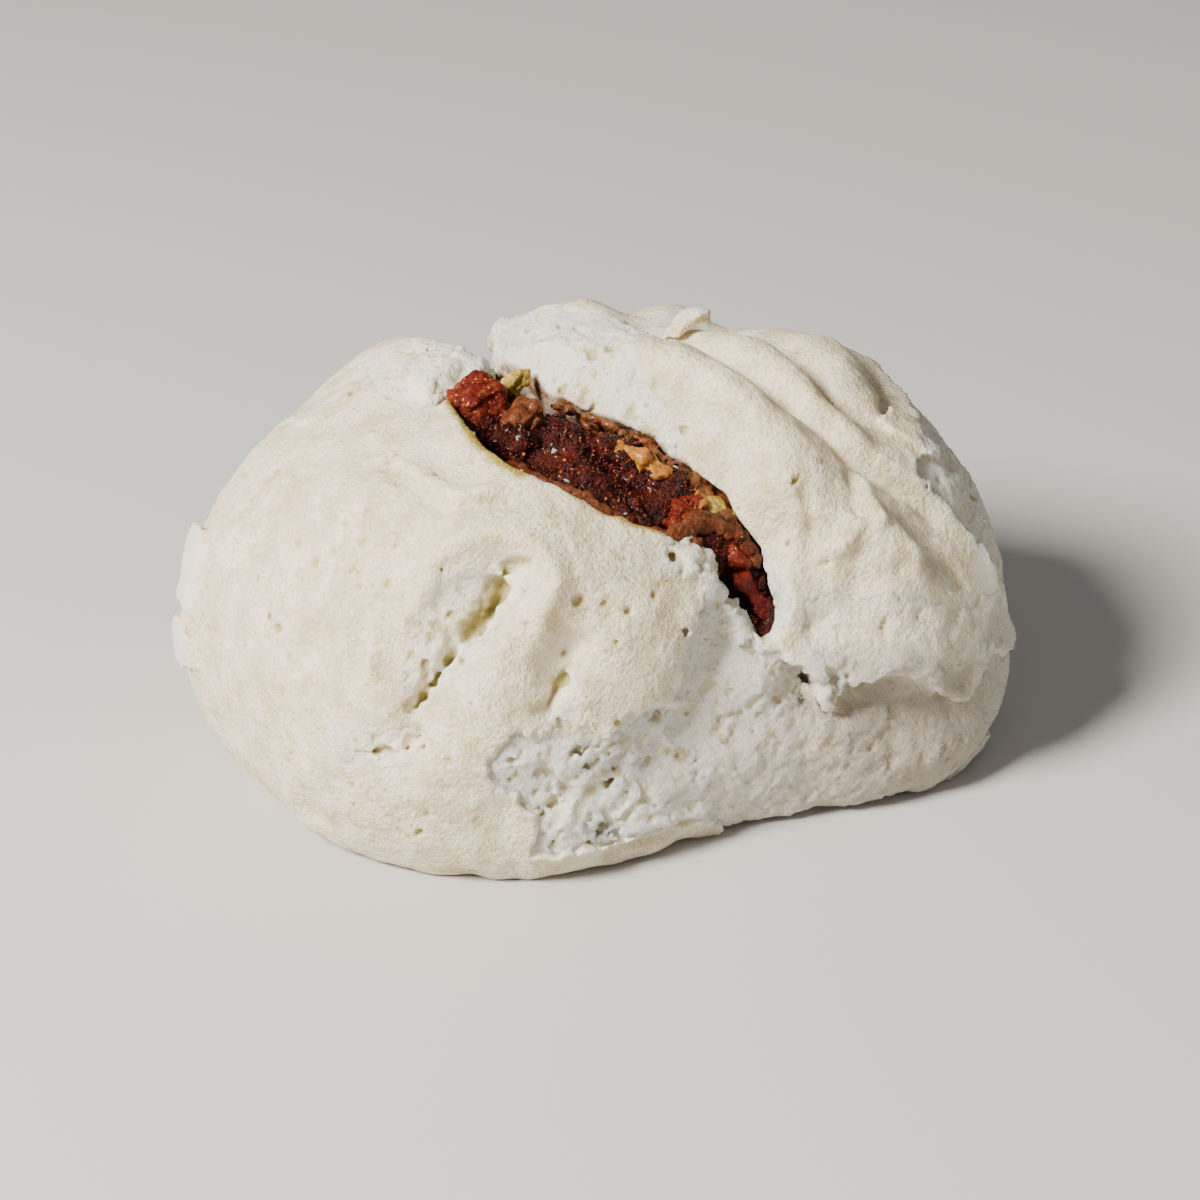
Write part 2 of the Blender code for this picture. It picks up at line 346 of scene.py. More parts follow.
def bubbles(places, spacing, smallest, largest, seed):
    """Distance to the nearest of many balls, below zero inside one. Each lattice cell holds one."""
    rng = np.random.default_rng(seed)
    centres = rng.uniform(0.2, 0.8, (TABLE, TABLE, TABLE, 3)).astype(np.float32)
    radii = smallest + (largest - smallest) * rng.random((TABLE,) * 3).astype(np.float32) ** 2
    spots = places @ TURN / np.float32(spacing)
    base = np.floor(spots - 0.5).astype(np.int32)
    nearest = np.full(len(places), spacing, np.float32)
    for step in itertools.product((0, 1), repeat=3):
        cells = base + np.array(step, np.int32)
        index = tuple((cells & (TABLE - 1)).T)
        gap = np.linalg.norm(spots - cells - centres[index], axis=1) * spacing - radii[index]
        nearest = np.minimum(nearest, gap)
    return nearest


def step_up(value, start, end):
    """0 below start, 1 above end, and a smooth rise between them."""
    share = np.clip((value - start) / (end - start), 0.0, 1.0)
    return share * share * (3.0 - 2.0 * share)


sample = np.random.default_rng(1).uniform(-20.0, 20.0, (2000, 3)).astype(np.float32)
sample_lumps = lumps(sample, 3.0, 5)
report("lumps reach from", sample_lumps.min().round(2), "to", sample_lumps.max().round(2))

# %% [markdown]
# ## Lines and outlines on the globe
#
# A crack or a fold is a line, and a torn patch is a closed outline. For each voxel near the skin these
# two helpers say how far its direction is from the line, or how deep it lies inside the outline. An
# outline is laid flat round its middle first, so that the usual test for a point in a polygon works.

# %% Distance from a line


def line_gap(outward, line, reach):
    """Gap in radians to a line, and the share of the line's length at the nearest place."""
    points = directions(line)
    middle = points.mean(0)
    middle /= np.linalg.norm(middle)
    widest = np.arccos(np.clip((points @ middle).min(), -1.0, 1.0)) + reach
    gap = np.full(len(outward), reach, np.float32)
    along = np.zeros(len(outward), np.float32)
    near = np.nonzero(outward @ middle > math.cos(min(widest, math.pi)))[0]
    spots = outward[near]
    best = np.full(len(near), reach, np.float32)
    share = np.zeros(len(near), np.float32)
    for k, (start, end) in enumerate(zip(points, points[1:])):
        run = end - start
        part = np.clip((spots - start) @ run / (run @ run), 0.0, 1.0)
        away = np.linalg.norm(spots - start - part[:, None] * run, axis=1)
        closer = away < best
        best[closer] = away[closer]
        share[closer] = (k + part[closer]) / (len(points) - 1)
    gap[near] = best
    along[near] = share
    return gap, along

# %% Depth inside an outline


def laid_flat(outward, middle):
    """Directions as flat places round a middle direction, with true distances from the middle."""
    side = np.cross(middle, (0.0, 0.0, 1.0) if abs(middle[2]) < 0.9 else (1.0, 0.0, 0.0))
    side = (side / np.linalg.norm(side)).astype(np.float32)
    up = np.cross(side, middle).astype(np.float32)
    angle = np.arccos(np.clip(outward @ middle, -1.0, 1.0))
    scale = angle / np.maximum(np.sin(angle), 1e-4)
    return outward @ side * scale, outward @ up * scale


def depth_inside(outward, outline, reach):
    """Depth in radians inside a closed outline, below zero outside it and never under -reach."""
    points = directions(outline)
    middle = points.mean(0)
    middle /= np.linalg.norm(middle)
    widest = np.arccos(np.clip((points @ middle).min(), -1.0, 1.0)) + reach
    depth = np.full(len(outward), -reach, np.float32)
    near = np.nonzero(outward @ middle > math.cos(min(widest, math.pi)))[0]
    x, y = laid_flat(outward[near], middle)
    corner_x, corner_y = laid_flat(points, middle)
    gap = np.full(len(near), reach * reach, np.float32)
    inside = np.zeros(len(near), bool)
    for k in range(len(points)):
        start_x, start_y, end_x, end_y = corner_x[k - 1], corner_y[k - 1], corner_x[k], corner_y[k]
        run_x, run_y = end_x - start_x, end_y - start_y
        part = ((x - start_x) * run_x + (y - start_y) * run_y) / (run_x * run_x + run_y * run_y)
        part = np.clip(part, 0.0, 1.0)
        away = (x - start_x - part * run_x) ** 2 + (y - start_y - part * run_y) ** 2
        gap = np.minimum(gap, away)
        crosses = (start_y > y) != (end_y > y)
        inside ^= crosses & (x < start_x + (y - start_y) * run_x / (run_y if run_y else 1e-9))
    depth[near] = np.where(inside, 1.0, -1.0) * np.sqrt(gap)
    return depth


crown_line = ((90, 60), (0, 80), (-40, 50))
report("gap from the crown to a line over it", line_gap(directions([(0, 90)]), crown_line, 1.0)[0])

# %% [markdown]
# ## A map of the globe
#
# Millions of voxels need to know how far they are from an outline. Working that out once for each half
# degree of the globe gives a small map, and a voxel then reads the map at its own direction.

# %% Making and reading maps
MAP_STEP = 0.5

map_rows = np.arange(-90.0, 90.1, MAP_STEP)
map_columns = np.arange(-180.0, 180.1, MAP_STEP)
map_grid = np.meshgrid(map_rows, map_columns, indexing="ij")
map_latitude, map_longitude = (np.radians(part.ravel()) for part in map_grid)
map_outward = np.stack([
    np.cos(map_latitude) * np.cos(map_longitude),
    np.cos(map_latitude) * np.sin(map_longitude),
    np.sin(map_latitude),
], 1).astype(np.float32)


def as_map(values):
    return values.reshape(map_grid[0].shape).astype(np.float32)


def map_spots(outward):
    """Where directions lie on the map: whole rows and columns, and the shares past them."""
    row = (np.degrees(np.arcsin(np.clip(outward[:, 2], -1.0, 1.0))) + 90.0) / MAP_STEP
    column = (np.degrees(np.arctan2(outward[:, 1], outward[:, 0])) + 180.0) / MAP_STEP
    top = np.minimum(row.astype(np.int32), map_grid[0].shape[0] - 2)
    left = np.minimum(column.astype(np.int32), map_grid[0].shape[1] - 2)
    return top, left, (row - top).astype(np.float32), (column - left).astype(np.float32)


def read_map(chart, spots):
    top, left, down, across = spots
    upper = chart[top, left] * (1.0 - across) + chart[top, left + 1] * across
    lower = chart[top + 1, left] * (1.0 - across) + chart[top + 1, left + 1] * across
    return upper * (1.0 - down) + lower * down


report("a map holds", map_outward.shape[0], "directions")

# %% [markdown]
# ## The voxels worth working on
#
# Only a thin shell of voxels round the skin, and round the filling where it lies open, ever changes.
# Each of them gets its direction from the globe's centre and its reach, so that an angle on the globe
# can be turned into millimetres. The shell is deeper where the bun is torn.

# %% A shell round the surface
SHELL_IN = 4.5
THIN_SHELL_IN = 1.6
SHELL_OUT = 2.3
DEEP_FRONT = 4.0
DEEP_TOP = 24.0
COVER_IN = 2.5
NOTCH_BOX = ((-22.0, -10.0, 20.0), (-6.0, 28.0, 48.0))

cover_all = dough_grid.blurred(np.minimum(raw_dough, raw_filling), SKIN_BLUR)
in_shell = (smooth_dough > -THIN_SHELL_IN) & (smooth_dough < SHELL_OUT)
front_end, top_start = dough_grid.index((0.0, DEEP_FRONT, DEEP_TOP))[1:]
for part in ((slice(None), slice(None, front_end)), (slice(None), slice(None), slice(top_start, None))):
    in_shell[part] |= (smooth_dough[part] > -SHELL_IN) & (smooth_dough[part] < SHELL_OUT)
in_shell |= (cover_all > -COVER_IN) & (cover_all < SHELL_OUT)
notch_ends = [dough_grid.index(corner) for corner in NOTCH_BOX]
notch_box = tuple(slice(low, high) for low, high in zip(*notch_ends))
in_shell[notch_box] |= smooth_dough[notch_box] < SHELL_OUT
shell = np.nonzero(in_shell)
places = dough_grid.places(shell)


def from_core(places):
    """Directions from the globe's centre, the reach of each, and where it lies on the map."""
    outward = places - CORE
    reach = np.linalg.norm(outward, axis=1)
    outward /= reach[:, None]
    return outward, reach, map_spots(outward)


outward, reach, spots = from_core(places)
skin = smooth_dough[shell]
cover = cover_all[shell]
filling_gap = raw_filling[shell]
report("voxels in the shell", len(places))

# %% [markdown]
# ## Folds and creases
#
# The baker gathers the far lobe into pleats, and the near lobe's skin is stretched into a bow. The
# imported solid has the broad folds. Each crease is sharpened here: its depth is added to the field, so
# dough goes away, and a ridge has a depth below zero.

# %% Sharper folds
CREASES = (
    # Depth and half width in millimetres, then the line. A ridge has a depth below zero.
    (1.5, 0.9, ((32, 72), (9, 71), (-8, 66), (-17, 58), (-19, 49), (-20, 45), (-17, 37), (-14, 32),
                (-13, 24))),
    (0.5, 0.6, ((-1, 67), (-8, 62), (-13, 57), (-17, 54))),
    (1.4, 0.8, ((27, 56), (10, 53), (0, 53), (-6, 50), (-5, 45), (-3, 39))),
    (1.2, 0.8, ((22, 41), (16, 40), (8, 40), (-2, 43))),
    (1.2, 0.9, ((-21, 43), (-27, 38), (-28, 35))),
    (0.7, 1.0, ((-26, 34), (-26, 29), (-26, 24))),
    (0.4, 0.6, ((-36, 46), (-36, 42), (-36, 37))),
    (0.3, 0.5, ((-40, 44), (-42, 38), (-42, 33))),
    (-0.9, 1.2, ((-22, 42), (-26, 38), (-27, 34), (-25, 28), (-22, 24))),
    (-0.8, 1.2, ((-29, 37), (-32, 35), (-35, 32))),
    (-0.7, 1.0, ((-124, 25), (-122, 29), (-122, 33), (-121, 36), (-118, 39), (-114, 41), (-108, 43),
                 (-103, 42), (-100, 40), (-98, 37), (-99, 34), (-101, 30), (-104, 25))),
    (-0.35, 0.6, ((-125, 24), (-122, 31), (-117, 36), (-113, 38))),
    (0.8, 0.9, ((-146, 47), (-133, 45), (-124, 44), (-114, 47), (-104, 50))),
    (-0.6, 0.9, ((-148, 49), (-134, 48), (-123, 47), (-112, 50))),
    (-0.6, 0.8, ((-176, 45), (-170, 38), (-166, 30), (-167, 24), (-170, 19))),
    (0.5, 0.9, ((-170, 46), (-165, 38), (-161, 31), (-162, 25), (-165, 20))),
    (-0.35, 0.8, ((-147, 44), (-146, 38), (-153, 33), (-160, 28))),
    (-0.6, 0.6, ((-129, 27), (-128, 22), (-127, 16))),
    (0.5, 0.7, ((-132, 27), (-131, 22), (-130, 16))),
    (1.1, 2.2, ((-93, 30), (-96, 26), (-98, 23), (-98, 17))),
    (-0.5, 1.6, ((-93, 23), (-94, 19), (-93, 15))),
    (1.0, 1.1, ((-91, -17), (-83, -17), (-76, -18), (-68, -17))),
    (-0.6, 1.0, ((-90, -15), (-84, -14), (-77, -14), (-67, -16), (-62, -19))),
    (0.7, 1.2, ((-137, -4), (-139, -8), (-138, -12))),
    (-0.6, 1.2, ((-143, -6), (-143, -11), (-140, -15))),
)
CREASE_SPAN = 0.12
MEAN_REACH = 36.0


def crease_map():
    depth = np.zeros(len(map_outward), np.float32)
    for height, width, line in CREASES:
        gap, along = line_gap(map_outward, line, CREASE_SPAN)
        run_out = step_up(np.minimum(along, 1.0 - along), -0.05, 0.2)
        depth += height * run_out * np.exp(-((gap * MEAN_REACH / width) ** 2))
    return as_map(depth)


skin = skin + read_map(crease_map(), spots)
report("creases cut, deepest in mm", crease_map().max().round(2))

# %% Dents and swellings
DENTS = (
    # Longitude, latitude, depth and radius in millimetres. A swelling has a depth below zero.
    (-96, 26, 0.7, 3.2), (-112, 32, 0.8, 4.5), (-129, 31, 0.25, 1.2), (-113, 14, -0.7, 5.5),
    (-94, 20, -0.4, 3.0), (-137, 19, 0.4, 3.5), (-146, 27, 0.35, 4.0), (-158, 34, 0.35, 4.0),
    (-150, 12, -0.4, 5.0), (-128, 37, 0.3, 3.0), (-30, 27, 0.35, 3.0), (-38, 48, -0.3, 3.0),
    (-58, 64, 0.3, 2.5), (-29, 6, 0.9, 2.2), (-24, 1, 0.5, 1.6), (-16, -4, 0.4, 2.2), (-27, -6, 0.4, 2.4),
    (-10, 2, 0.3, 1.8), (-34, 3, 0.8, 1.6), (-40, 22, 1.0, 1.6), (30, 45, -0.4, 4.0), (60, 40, 0.5, 5.0),
    (90, 30, -0.5, 6.0), (120, 15, 0.5, 6.0), (150, 25, -0.4, 5.0), (100, 50, 0.4, 4.0),
    (50, 77, 1.0, 6.0), (62, 59, 1.8, 7.0), (44, 56, 1.2, 6.0), (95, 68, 1.3, 5.0), (20, 20, 0.4, 4.0),
    (45, 10, -0.4, 5.0), (75, 5, 0.4, 5.0), (175, 15, 0.3, 4.0),
)


def dent_map():
    depth = np.zeros(len(map_outward), np.float32)
    for longitude, latitude, height, radius in DENTS:
        away = MEAN_REACH * np.linalg.norm(map_outward - directions([(longitude, latitude)]), axis=1)
        depth += height * np.exp(-((away / radius) ** 2))
    return as_map(depth)


skin = skin + read_map(dent_map(), spots)
report("dents pressed", len(DENTS))

# %% [markdown]
# ## Torn patches
#
# Where the bun came apart, three things show: the skin's thin torn edge, a shaded gap beneath it, and
# the open crumb, lower than the skin was. So each torn patch is an outline on the globe. Outside it the
# skin is a sheet that lifts a little towards its ragged edge. Inside it the crumb is set back, and it
# is set back under the sheet's edge too, which leaves the hem free.

# %% Outlines of the torn patches
FRONT_PATCH = (
    (-50, 21), (-53, 30), (-60, 34), (-66, 32), (-72, 29), (-74, 22),
    (-74, 14), (-84, 12), (-94, 10), (-104, 10), (-109, 7), (-106, 2), (-101, -4), (-101, -13),
    (-92, -15), (-66, -17), (-58, -26), (-35, -30), (0, -30), (26, -24), (34, -4), (36, 20), (30, 38),
    (14, 36), (-4, 36), (-12, 35), (-9, 28), (-8, 10), (-7, 2), (-9, 3), (-13, 5), (-15, 3), (-19, 0),
    (-24, 4), (-28, 8), (-31, 9.5), (-36, 9), (-38, 4), (-41, 12),
)
TEAR_PATCH = (
    (-49, 20), (-58, 32), (-60, 39), (-76, 46), (-105, 53), (-131, 57), (-149, 61), (-163, 63), (170, 67),
    (140, 60), (122, 48), (114, 44), (112, 52), (96, 64), (64, 69), (20, 80), (-17, 85), (-43, 78),
    (-49, 64), (-45, 47), (-43, 28),
)
PATCH_SPAN = 0.25

# How coarse the torn crumb is: middle of a bed, its spread in radians and what it adds.
CRUMB_BEDS = (
    ((-90, 0), 0.40, 0.30), ((-66, 12), 0.3, 0.1), ((-41, 8), 0.15, 0.4), ((-8, -6), 0.6, -0.45),
    ((14, 26), 0.35, -0.4),
)
EVEN_COARSENESS = 0.65

# Skin that is scuffed down to the crumb: the piece it is carved in, how strongly, then the outline.
SCUFFS = (
    ("back_crumb", 1.0, ((158, 44), (152, 58), (150, 66), (178, 69), (-168, 65), (-158, 59), (-160, 56),
                         (-176, 52))),
    ("left_crumb", 0.7, ((-123, 20), (-122, 27), (-121, 34), (-112, 39), (-102, 40), (-105, 33),
                         (-109, 29), (-113, 24), (-118, 17), (-121, 12))),
    ("front_crumb", 0.5, ((-44, 30), (-37, 28), (-28, 23), (-18, 16), (-6, 12), (-8, 2), (-20, -2),
                          (-29, 8), (-37, 4), (-44, 18))),
    ("left_crumb", 0.6, ((-132, 9), (-119, 10), (-118, 5), (-124, 3), (-132, 3))),
    ("front_crumb", 0.5, ((-100, 22), (-95, 24), (-94, 14), (-98, 11), (-101, 15))),
    ("front_crumb", 1.0, ((-78, 41), (-74, 44), (-66, 47.5), (-57, 46.5), (-54, 41), (-55, 35),
                          (-58, 32), (-64, 37))),
)


def coarseness_map():
    value = np.full(len(map_outward), EVEN_COARSENESS, np.float32)
    for middle, spread, gain in CRUMB_BEDS:
        away = np.linalg.norm(map_outward - directions([middle]), axis=1)
        value += gain * np.exp(-((away / spread) ** 2))
    return as_map(value)


front_map = as_map(depth_inside(map_outward, FRONT_PATCH, PATCH_SPAN))
tear_map = as_map(depth_inside(map_outward, TEAR_PATCH, PATCH_SPAN))
grade_map = coarseness_map()
front_depth = read_map(front_map, spots) * reach
tear_depth = read_map(tear_map, spots) * reach


def scuff_map():
    value = np.zeros(len(map_outward), np.float32)
    for _, strength, outline in SCUFFS:
        depth = depth_inside(map_outward, outline, PATCH_SPAN)
        value = np.maximum(value, strength * step_up(depth, -0.03, 0.03))
    return as_map(value)


scuffed_map = scuff_map()
scuffed = read_map(scuffed_map, spots)
report("voxels in the front patch", int((front_depth > 0).sum()))

# %% The part of the shell that is torn
TORN_MARGIN = 4.0
TEAR_MARGIN = 2.0
FILLING_SEAM = 0.3

open_tear = (tear_depth > -TEAR_MARGIN) & (filling_gap > FILLING_SEAM)
torn_spots = np.nonzero((front_depth > -TORN_MARGIN) | (scuffed > 0.05) | open_tear)[0]
part_places = places[torn_spots]
part_skin = skin[torn_spots]
part_gap = filling_gap[torn_spots]
part_crisp = crisp_dough[shell][torn_spots]
grade = read_map(grade_map, tuple(part[torn_spots] for part in spots))


def wander(places):
    """Millimetres by which a torn edge wanders."""
    return 0.7 * lumps(places, 4.2, 21) + 0.8 * lumps(places, 2.0, 22) + 0.7 * lumps(places, 0.9, 23)


FAR_HEM = ((-41, 12), (-36, 9), (-31, 9.5), (-24, 4), (-19, 0), (-14, 4), (-8, 2), (-8, 16))
FAR_HEM_LIFT = 1.2
FAR_HEM_SPREAD = 4.5
HEM_CALM = 0.35

far_hem_map = as_map(line_gap(map_outward, FAR_HEM, 0.3)[0])
hem_gap = read_map(far_hem_map, tuple(part[torn_spots] for part in spots)) * MEAN_REACH
hem = np.exp(-((hem_gap / FAR_HEM_SPREAD) ** 2))
edge_wander = wander(part_places) * (1.0 - HEM_CALM * hem)
front = front_depth[torn_spots] + edge_wander
tear = tear_depth[torn_spots] + 0.3 * edge_wander
near_tear = step_up(tear_depth[torn_spots], -TEAR_MARGIN, 0.5)
part_skin = part_skin + near_tear * (part_crisp - smooth_dough[shell][torn_spots])
report("voxels in the torn part", len(torn_spots))

# %% Hems and crumb
SETBACK = 0.3
RIM_WIDTH = 4.0
SCUFF_RELIEF = 0.3
WALL_RELIEF = 0.38
HEM_THICKNESS = 0.6
HEM_UNDERCUT = 1.0
HEM_CURL = 0.45


def clumps(places, size, seed):
    """From 0 on the tops of soft round clumps to 1 in the thin valleys between them."""
    return 1.0 - np.minimum(2.2 * np.abs(lumps(places, size, seed)), 1.0)


def crumb_relief(places):
    """Millimetres by which torn crumb lies below an even surface."""
    slow = 0.65 * lumps(places, 5.5, 31)
    hollows = 0.75 * np.abs(lumps(places, 3.2, 32))
    tufts = 0.20 * clumps(places, 1.9, 33) + 0.10 * clumps(places, 1.0, 34)
    return slow + hollows + tufts - 0.40


relief = crumb_relief(part_places)
guard = step_up(part_gap, 0.4, 2.6)
setback = (SETBACK + 0.1 * grade + 1.1 * hem) * guard
inside = step_up(front, -HEM_UNDERCUT - 0.4, 0.9 - HEM_UNDERCUT)
shallow_rim = 0.35 + 0.65 * step_up(front, 0.0, RIM_WIDTH)
crumb = part_skin + setback * inside + inside * guard * grade * shallow_rim * relief
curl = HEM_CURL * np.exp(np.minimum(-np.abs(front), 0.0) / 1.6) + FAR_HEM_LIFT * hem
scuff = scuffed[torn_spots] * guard * (1.0 - inside)
sheet_top = part_skin - curl + scuff * SCUFF_RELIEF * relief
sheet_low = -(sheet_top + HEM_THICKNESS + 0.9 * hem)
sheet = np.maximum(np.maximum(sheet_top, sheet_low), front)
part = np.minimum(crumb + scuff * SCUFF_RELIEF * relief, sheet)
wall = step_up(tear, -0.3, 0.7) * guard
part = part + wall * WALL_RELIEF * relief
report("hems and crumb carved")

# %% Ragged holes in the crumb
HOLES = (
    # Size of the lumps that make the holes, how much of the crumb is left, gain and seed.
    (1.9, 0.45, 0.75, 51),
    (1.2, 0.47, 0.7, 52),
)
open_crumb = np.maximum(np.maximum(inside * np.minimum(grade, 1.2), 0.6 * wall), 0.6 * scuff) * guard
buried = np.maximum(-part - 0.6, 0.0)
for size, left, gain, seed in HOLES:
    hollow = (lumps(part_places, size, seed) - left) * gain
    hollow = hollow - (1.0 - np.minimum(open_crumb, 1.0)) * 1.2 - 0.7 * buried
    part = np.maximum(part, hollow)
dough = skin.copy()
dough[torn_spots] = part
report("holes torn")

# %% Loose flaps of skin and crumb
FLAPS = (
    # Lift of the free edge and thickness in millimetres, the attached line, then the outline.
    (1.1, 1.4, ((50, 76), (30, 77)), ((34, 73), (44, 74), (49, 70), (45, 66), (38, 67), (33, 68))),
    (1.0, 1.3, ((-166, 20), (-166, -2)), ((-168, 19), (-175, 20), (178, 17), (179, 12), (-176, 9),
                                          (-169, 8))),
    (1.1, 1.4, ((-166, 24), (-166, -2)), ((-169, 6), (-178, 5), (176, 1), (-176, -1), (-168, 1))),
    (1.3, 0.6, ((-3, 44), (4, 30)), ((-3, 42), (-5, 37), (-8, 35), (-4, 33), (0, 33), (4, 36), (4, 41))),
    (0.6, 0.6, ((166, 40), (178, 44)), ((165, 40), (172, 48), (178, 44), (176, 38), (168, 35))),
    (0.3, 0.7, ((-10, -8), (-14, -14)), ((-8, -10), (-4, -14), (-8, -19), (-14, -17), (-12, -11))),
    # Crumb that reaches over the filling: a tongue at the front and a cap at the back left.
    (1.0, 2.2, ((-84, 38), (-64, 26)), ((-78, 40), (-73, 44.5), (-66, 47.5), (-60, 45.5), (-57, 43),
                                        (-57, 40), (-57.5, 37), (-55.5, 34), (-52.5, 29.5), (-50.5, 26.5),
                                        (-48.5, 22.5), (-52, 20), (-58, 26), (-66, 34))),
    (1.2, 2.4, ((-160, 50), (170, 52)), ((-158, 57), (-161, 61), (-164, 64), (-169, 66.5), (-175, 68.5),
                                         (176, 70), (168, 69), (166, 61), (176, 56), (-169, 55))),
)
FLAP_REACH = 5.0
THICK_FLAP = 2.0
DROOP = 2.5


def add_flap(dough, lift, thickness, hinge, outline):
    depth = as_map(depth_inside(map_outward, outline, 0.1))
    away = as_map(line_gap(map_outward, hinge, 0.6)[0])
    edge = read_map(depth, spots) * reach
    base = np.minimum(skin, cover)
    near = np.nonzero((edge > -1.5) & (base > -2.4))[0]
    here = tuple(part[near] for part in spots)
    share = np.clip(read_map(away, here) * reach[near] / FLAP_REACH, 0.0, 1.0)
    if thickness > THICK_FLAP:
        share = share * step_up(edge[near], 0.0, DROOP)
    height = lift * share + 0.25 * lumps(places[near], 2.2, 95)
    if thickness > THICK_FLAP:
        height -= 0.40 * clumps(places[near], 1.7, 98) + 0.25 * clumps(places[near], 0.8, 99) - 0.2
    ragged = edge[near] + 0.6 * lumps(places[near], 1.6, 96) + 0.4 * lumps(places[near], 0.7, 97)
    flap = np.maximum(np.maximum(base[near] - height, height - thickness - base[near]), -ragged)
    dough[near] = np.minimum(dough[near], flap)


for row in FLAPS:
    add_flap(dough, *row)
report("flaps added", len(FLAPS))

# %% [markdown]
# ## A notch over the back
#
# The tear runs on over the back of the bun. There it is a slot, whose floor slopes down to the table,
# and beside it the left lobe's crest is broken away along a slope. The slope follows a sight line from
# the front, a little above the table, so that the light shows through the notch.

# %% Slot and broken crest
NOTCH_AT = (-12.4, -2.1, 44.3)
SLOT_HALF_WIDTH = 1.15
SLOT_FRONT = -10.0
SLOT_SLOPE = 0.58
SLOT_RUN_OUT = 38.0
SLOT_TAPER = 7.0
SLOT_BOTTOM = 20.0
CREST_DROP = 1.2
CREST_SLOPE = 0.30
CREST_RIGHT = 0.5
BULGE = 1.2
BULGE_AT = 4.1
BULGE_SPREAD = 0.9
NOTCH_REACH = 9.0

notch_x, notch_y, notch_z = NOTCH_AT
beside_notch = np.abs(places[:, 0] - notch_x) < NOTCH_REACH
deep_spots = np.nonzero(beside_notch & (places[:, 1] > SLOT_FRONT) & (places[:, 2] > SLOT_BOTTOM))[0]
deep = places[deep_spots]
sight = (deep[:, 1] - notch_y) * math.sin(VIEW_ELEVATION)
sight = sight + (deep[:, 2] - notch_z) * math.cos(VIEW_ELEVATION)
sway = 0.5 * lumps(deep, 3.0, 92) + 0.4 * lumps(deep, 1.3, 93) + 0.25 * lumps(deep, 0.7, 94)
across = deep[:, 0] - notch_x + (0.6 + 1.8 * step_up(-sight, 1.5, 6.0)) * sway
above = deep[:, 2] - (notch_z - SLOT_SLOPE * (deep[:, 1] - SLOT_FRONT) + 0.6 * lumps(deep, 2.5, 91))
half = SLOT_HALF_WIDTH * np.clip(above / SLOT_TAPER, 0.0, 1.0)
half *= 1.0 - step_up(deep[:, 1], SLOT_RUN_OUT - 12.0, SLOT_RUN_OUT)
bulge = BULGE * np.exp(-(((sight - BULGE_AT) / BULGE_SPREAD) ** 2))
slot = np.minimum(half - np.maximum(-across, across + bulge), above)
crest = np.minimum(sight - CREST_DROP + CREST_SLOPE * across + 0.4 * sway, CREST_RIGHT - bulge - across)
notch = np.maximum(slot, crest)
notch = np.minimum(notch, raw_filling[shell][deep_spots] - 0.2)
dough[deep_spots] = np.maximum(dough[deep_spots], notch)
report("notch cut, voxels", int((notch > 0).sum()))

# %% [markdown]
# ## Cracks and pinholes
#
# Steam bursts the skin in a few places. A crack is a gap that gets narrower with depth, so its half
# width is worked out from how deep the voxel lies. A pinhole is a small ball taken out of the skin.

# %% Cracks
CRACKS = (
    # Width at the start and at the end, depth, then the line.
    (2.8, 0.9, 2.0, ((-110, 37), (-111, 34), (-112, 32), (-114, 28), (-116, 25), (-117, 22), (-119, 18),
                     (-121, 14), (-122, 12.5))),
    (0.9, 1.0, 1.3, ((-120, 10.5), (-120, 9), (-121, 8), (-122, 6), (-125, 6), (-127, 5), (-129, 5.5))),
    (1.3, 0.5, 1.0, ((-110, 37.5), (-106, 39), (-103, 40))),
    (0.8, 1.0, 1.2, ((-96, 21.5), (-98, 19), (-100, 15), (-97, 13), (-95, 11))),
    (1.2, 0.7, 3.2, ((-41, 14), (-39, 10), (-38, 5), (-37, 3))),
    (0.9, 0.6, 3.0, ((-37, 11), (-37, 7), (-38, 5))),
)
CRACK_SPAN = 0.1

for first, last, deep, line in CRACKS:
    gap, along = line_gap(outward, line, CRACK_SPAN)
    near = np.nonzero((gap * reach < 3.0) & (skin > -deep - 1.0))[0]
    depth = np.maximum(-skin[near], 0.0)
    share = along[near]
    width = first + (last - first) * share
    half = width / 2.0 * np.clip(1.0 - depth / deep, 0.0, 1.0)
    wobble = 0.6 * lumps(places[near], 1.7, 61) + 0.5 * lumps(places[near], 0.8, 62)
    ends = step_up(share, -0.001, 0.06) * step_up(1.0 - share, -0.001, 0.08)
    room = half * ends + ends * wobble * np.minimum(width, 1.0) - gap[near] * reach[near]
    dough[near] = np.maximum(dough[near], np.where(depth < deep, room, -2.0))
report("cracks opened", len(CRACKS))

# %% Pinholes
PITS = (
    # Longitude, latitude and radius in millimetres of the largest pits.
    (-129, 31, 0.55), (-151, 30, 0.45), (-147, 18, 0.45), (-131, 49, 0.35), (-94, 34, 0.6),
    (-89, 34, 0.55), (-72, 42, 0.65), (-8, 23, 0.7), (-7, 17, 0.5), (-9, 14, 0.45), (-4, 24, 0.35),
    (-118, 87, 0.6), (-142, 81, 0.45), (-59, 72, 0.55), (-63, 77, 0.45), (166, 58, 0.4),
    (-119, 27, 0.5), (-105, 35, 0.3), (-72, 0, 0.7), (-92, -3, 0.6),
)
PIT_PATCHES = (
    # Middle of a patch of small pits, its spread in degrees and how many it holds.
    (-138, 34, 5, 8), (-147, 44, 6, 5), (-146, 24, 9, 7), (-118, -6, 10, 6), (-119, 23, 3, 5),
    (174, 50, 9, 9), (-60, 76, 8, 5), (-120, 82, 9, 6), (-6, 22, 5, 4), (-103, 6, 5, 7),
    (-86, -2, 10, 9), (-30, 46, 11, 5), (-112, 33, 6, 5), (-135, -5, 8, 5), (-85, 32, 8, 5),
    (100, 40, 30, 10), (60, 20, 25, 8),
)
SMALL_PIT = 0.2
LARGE_PIT = 0.4


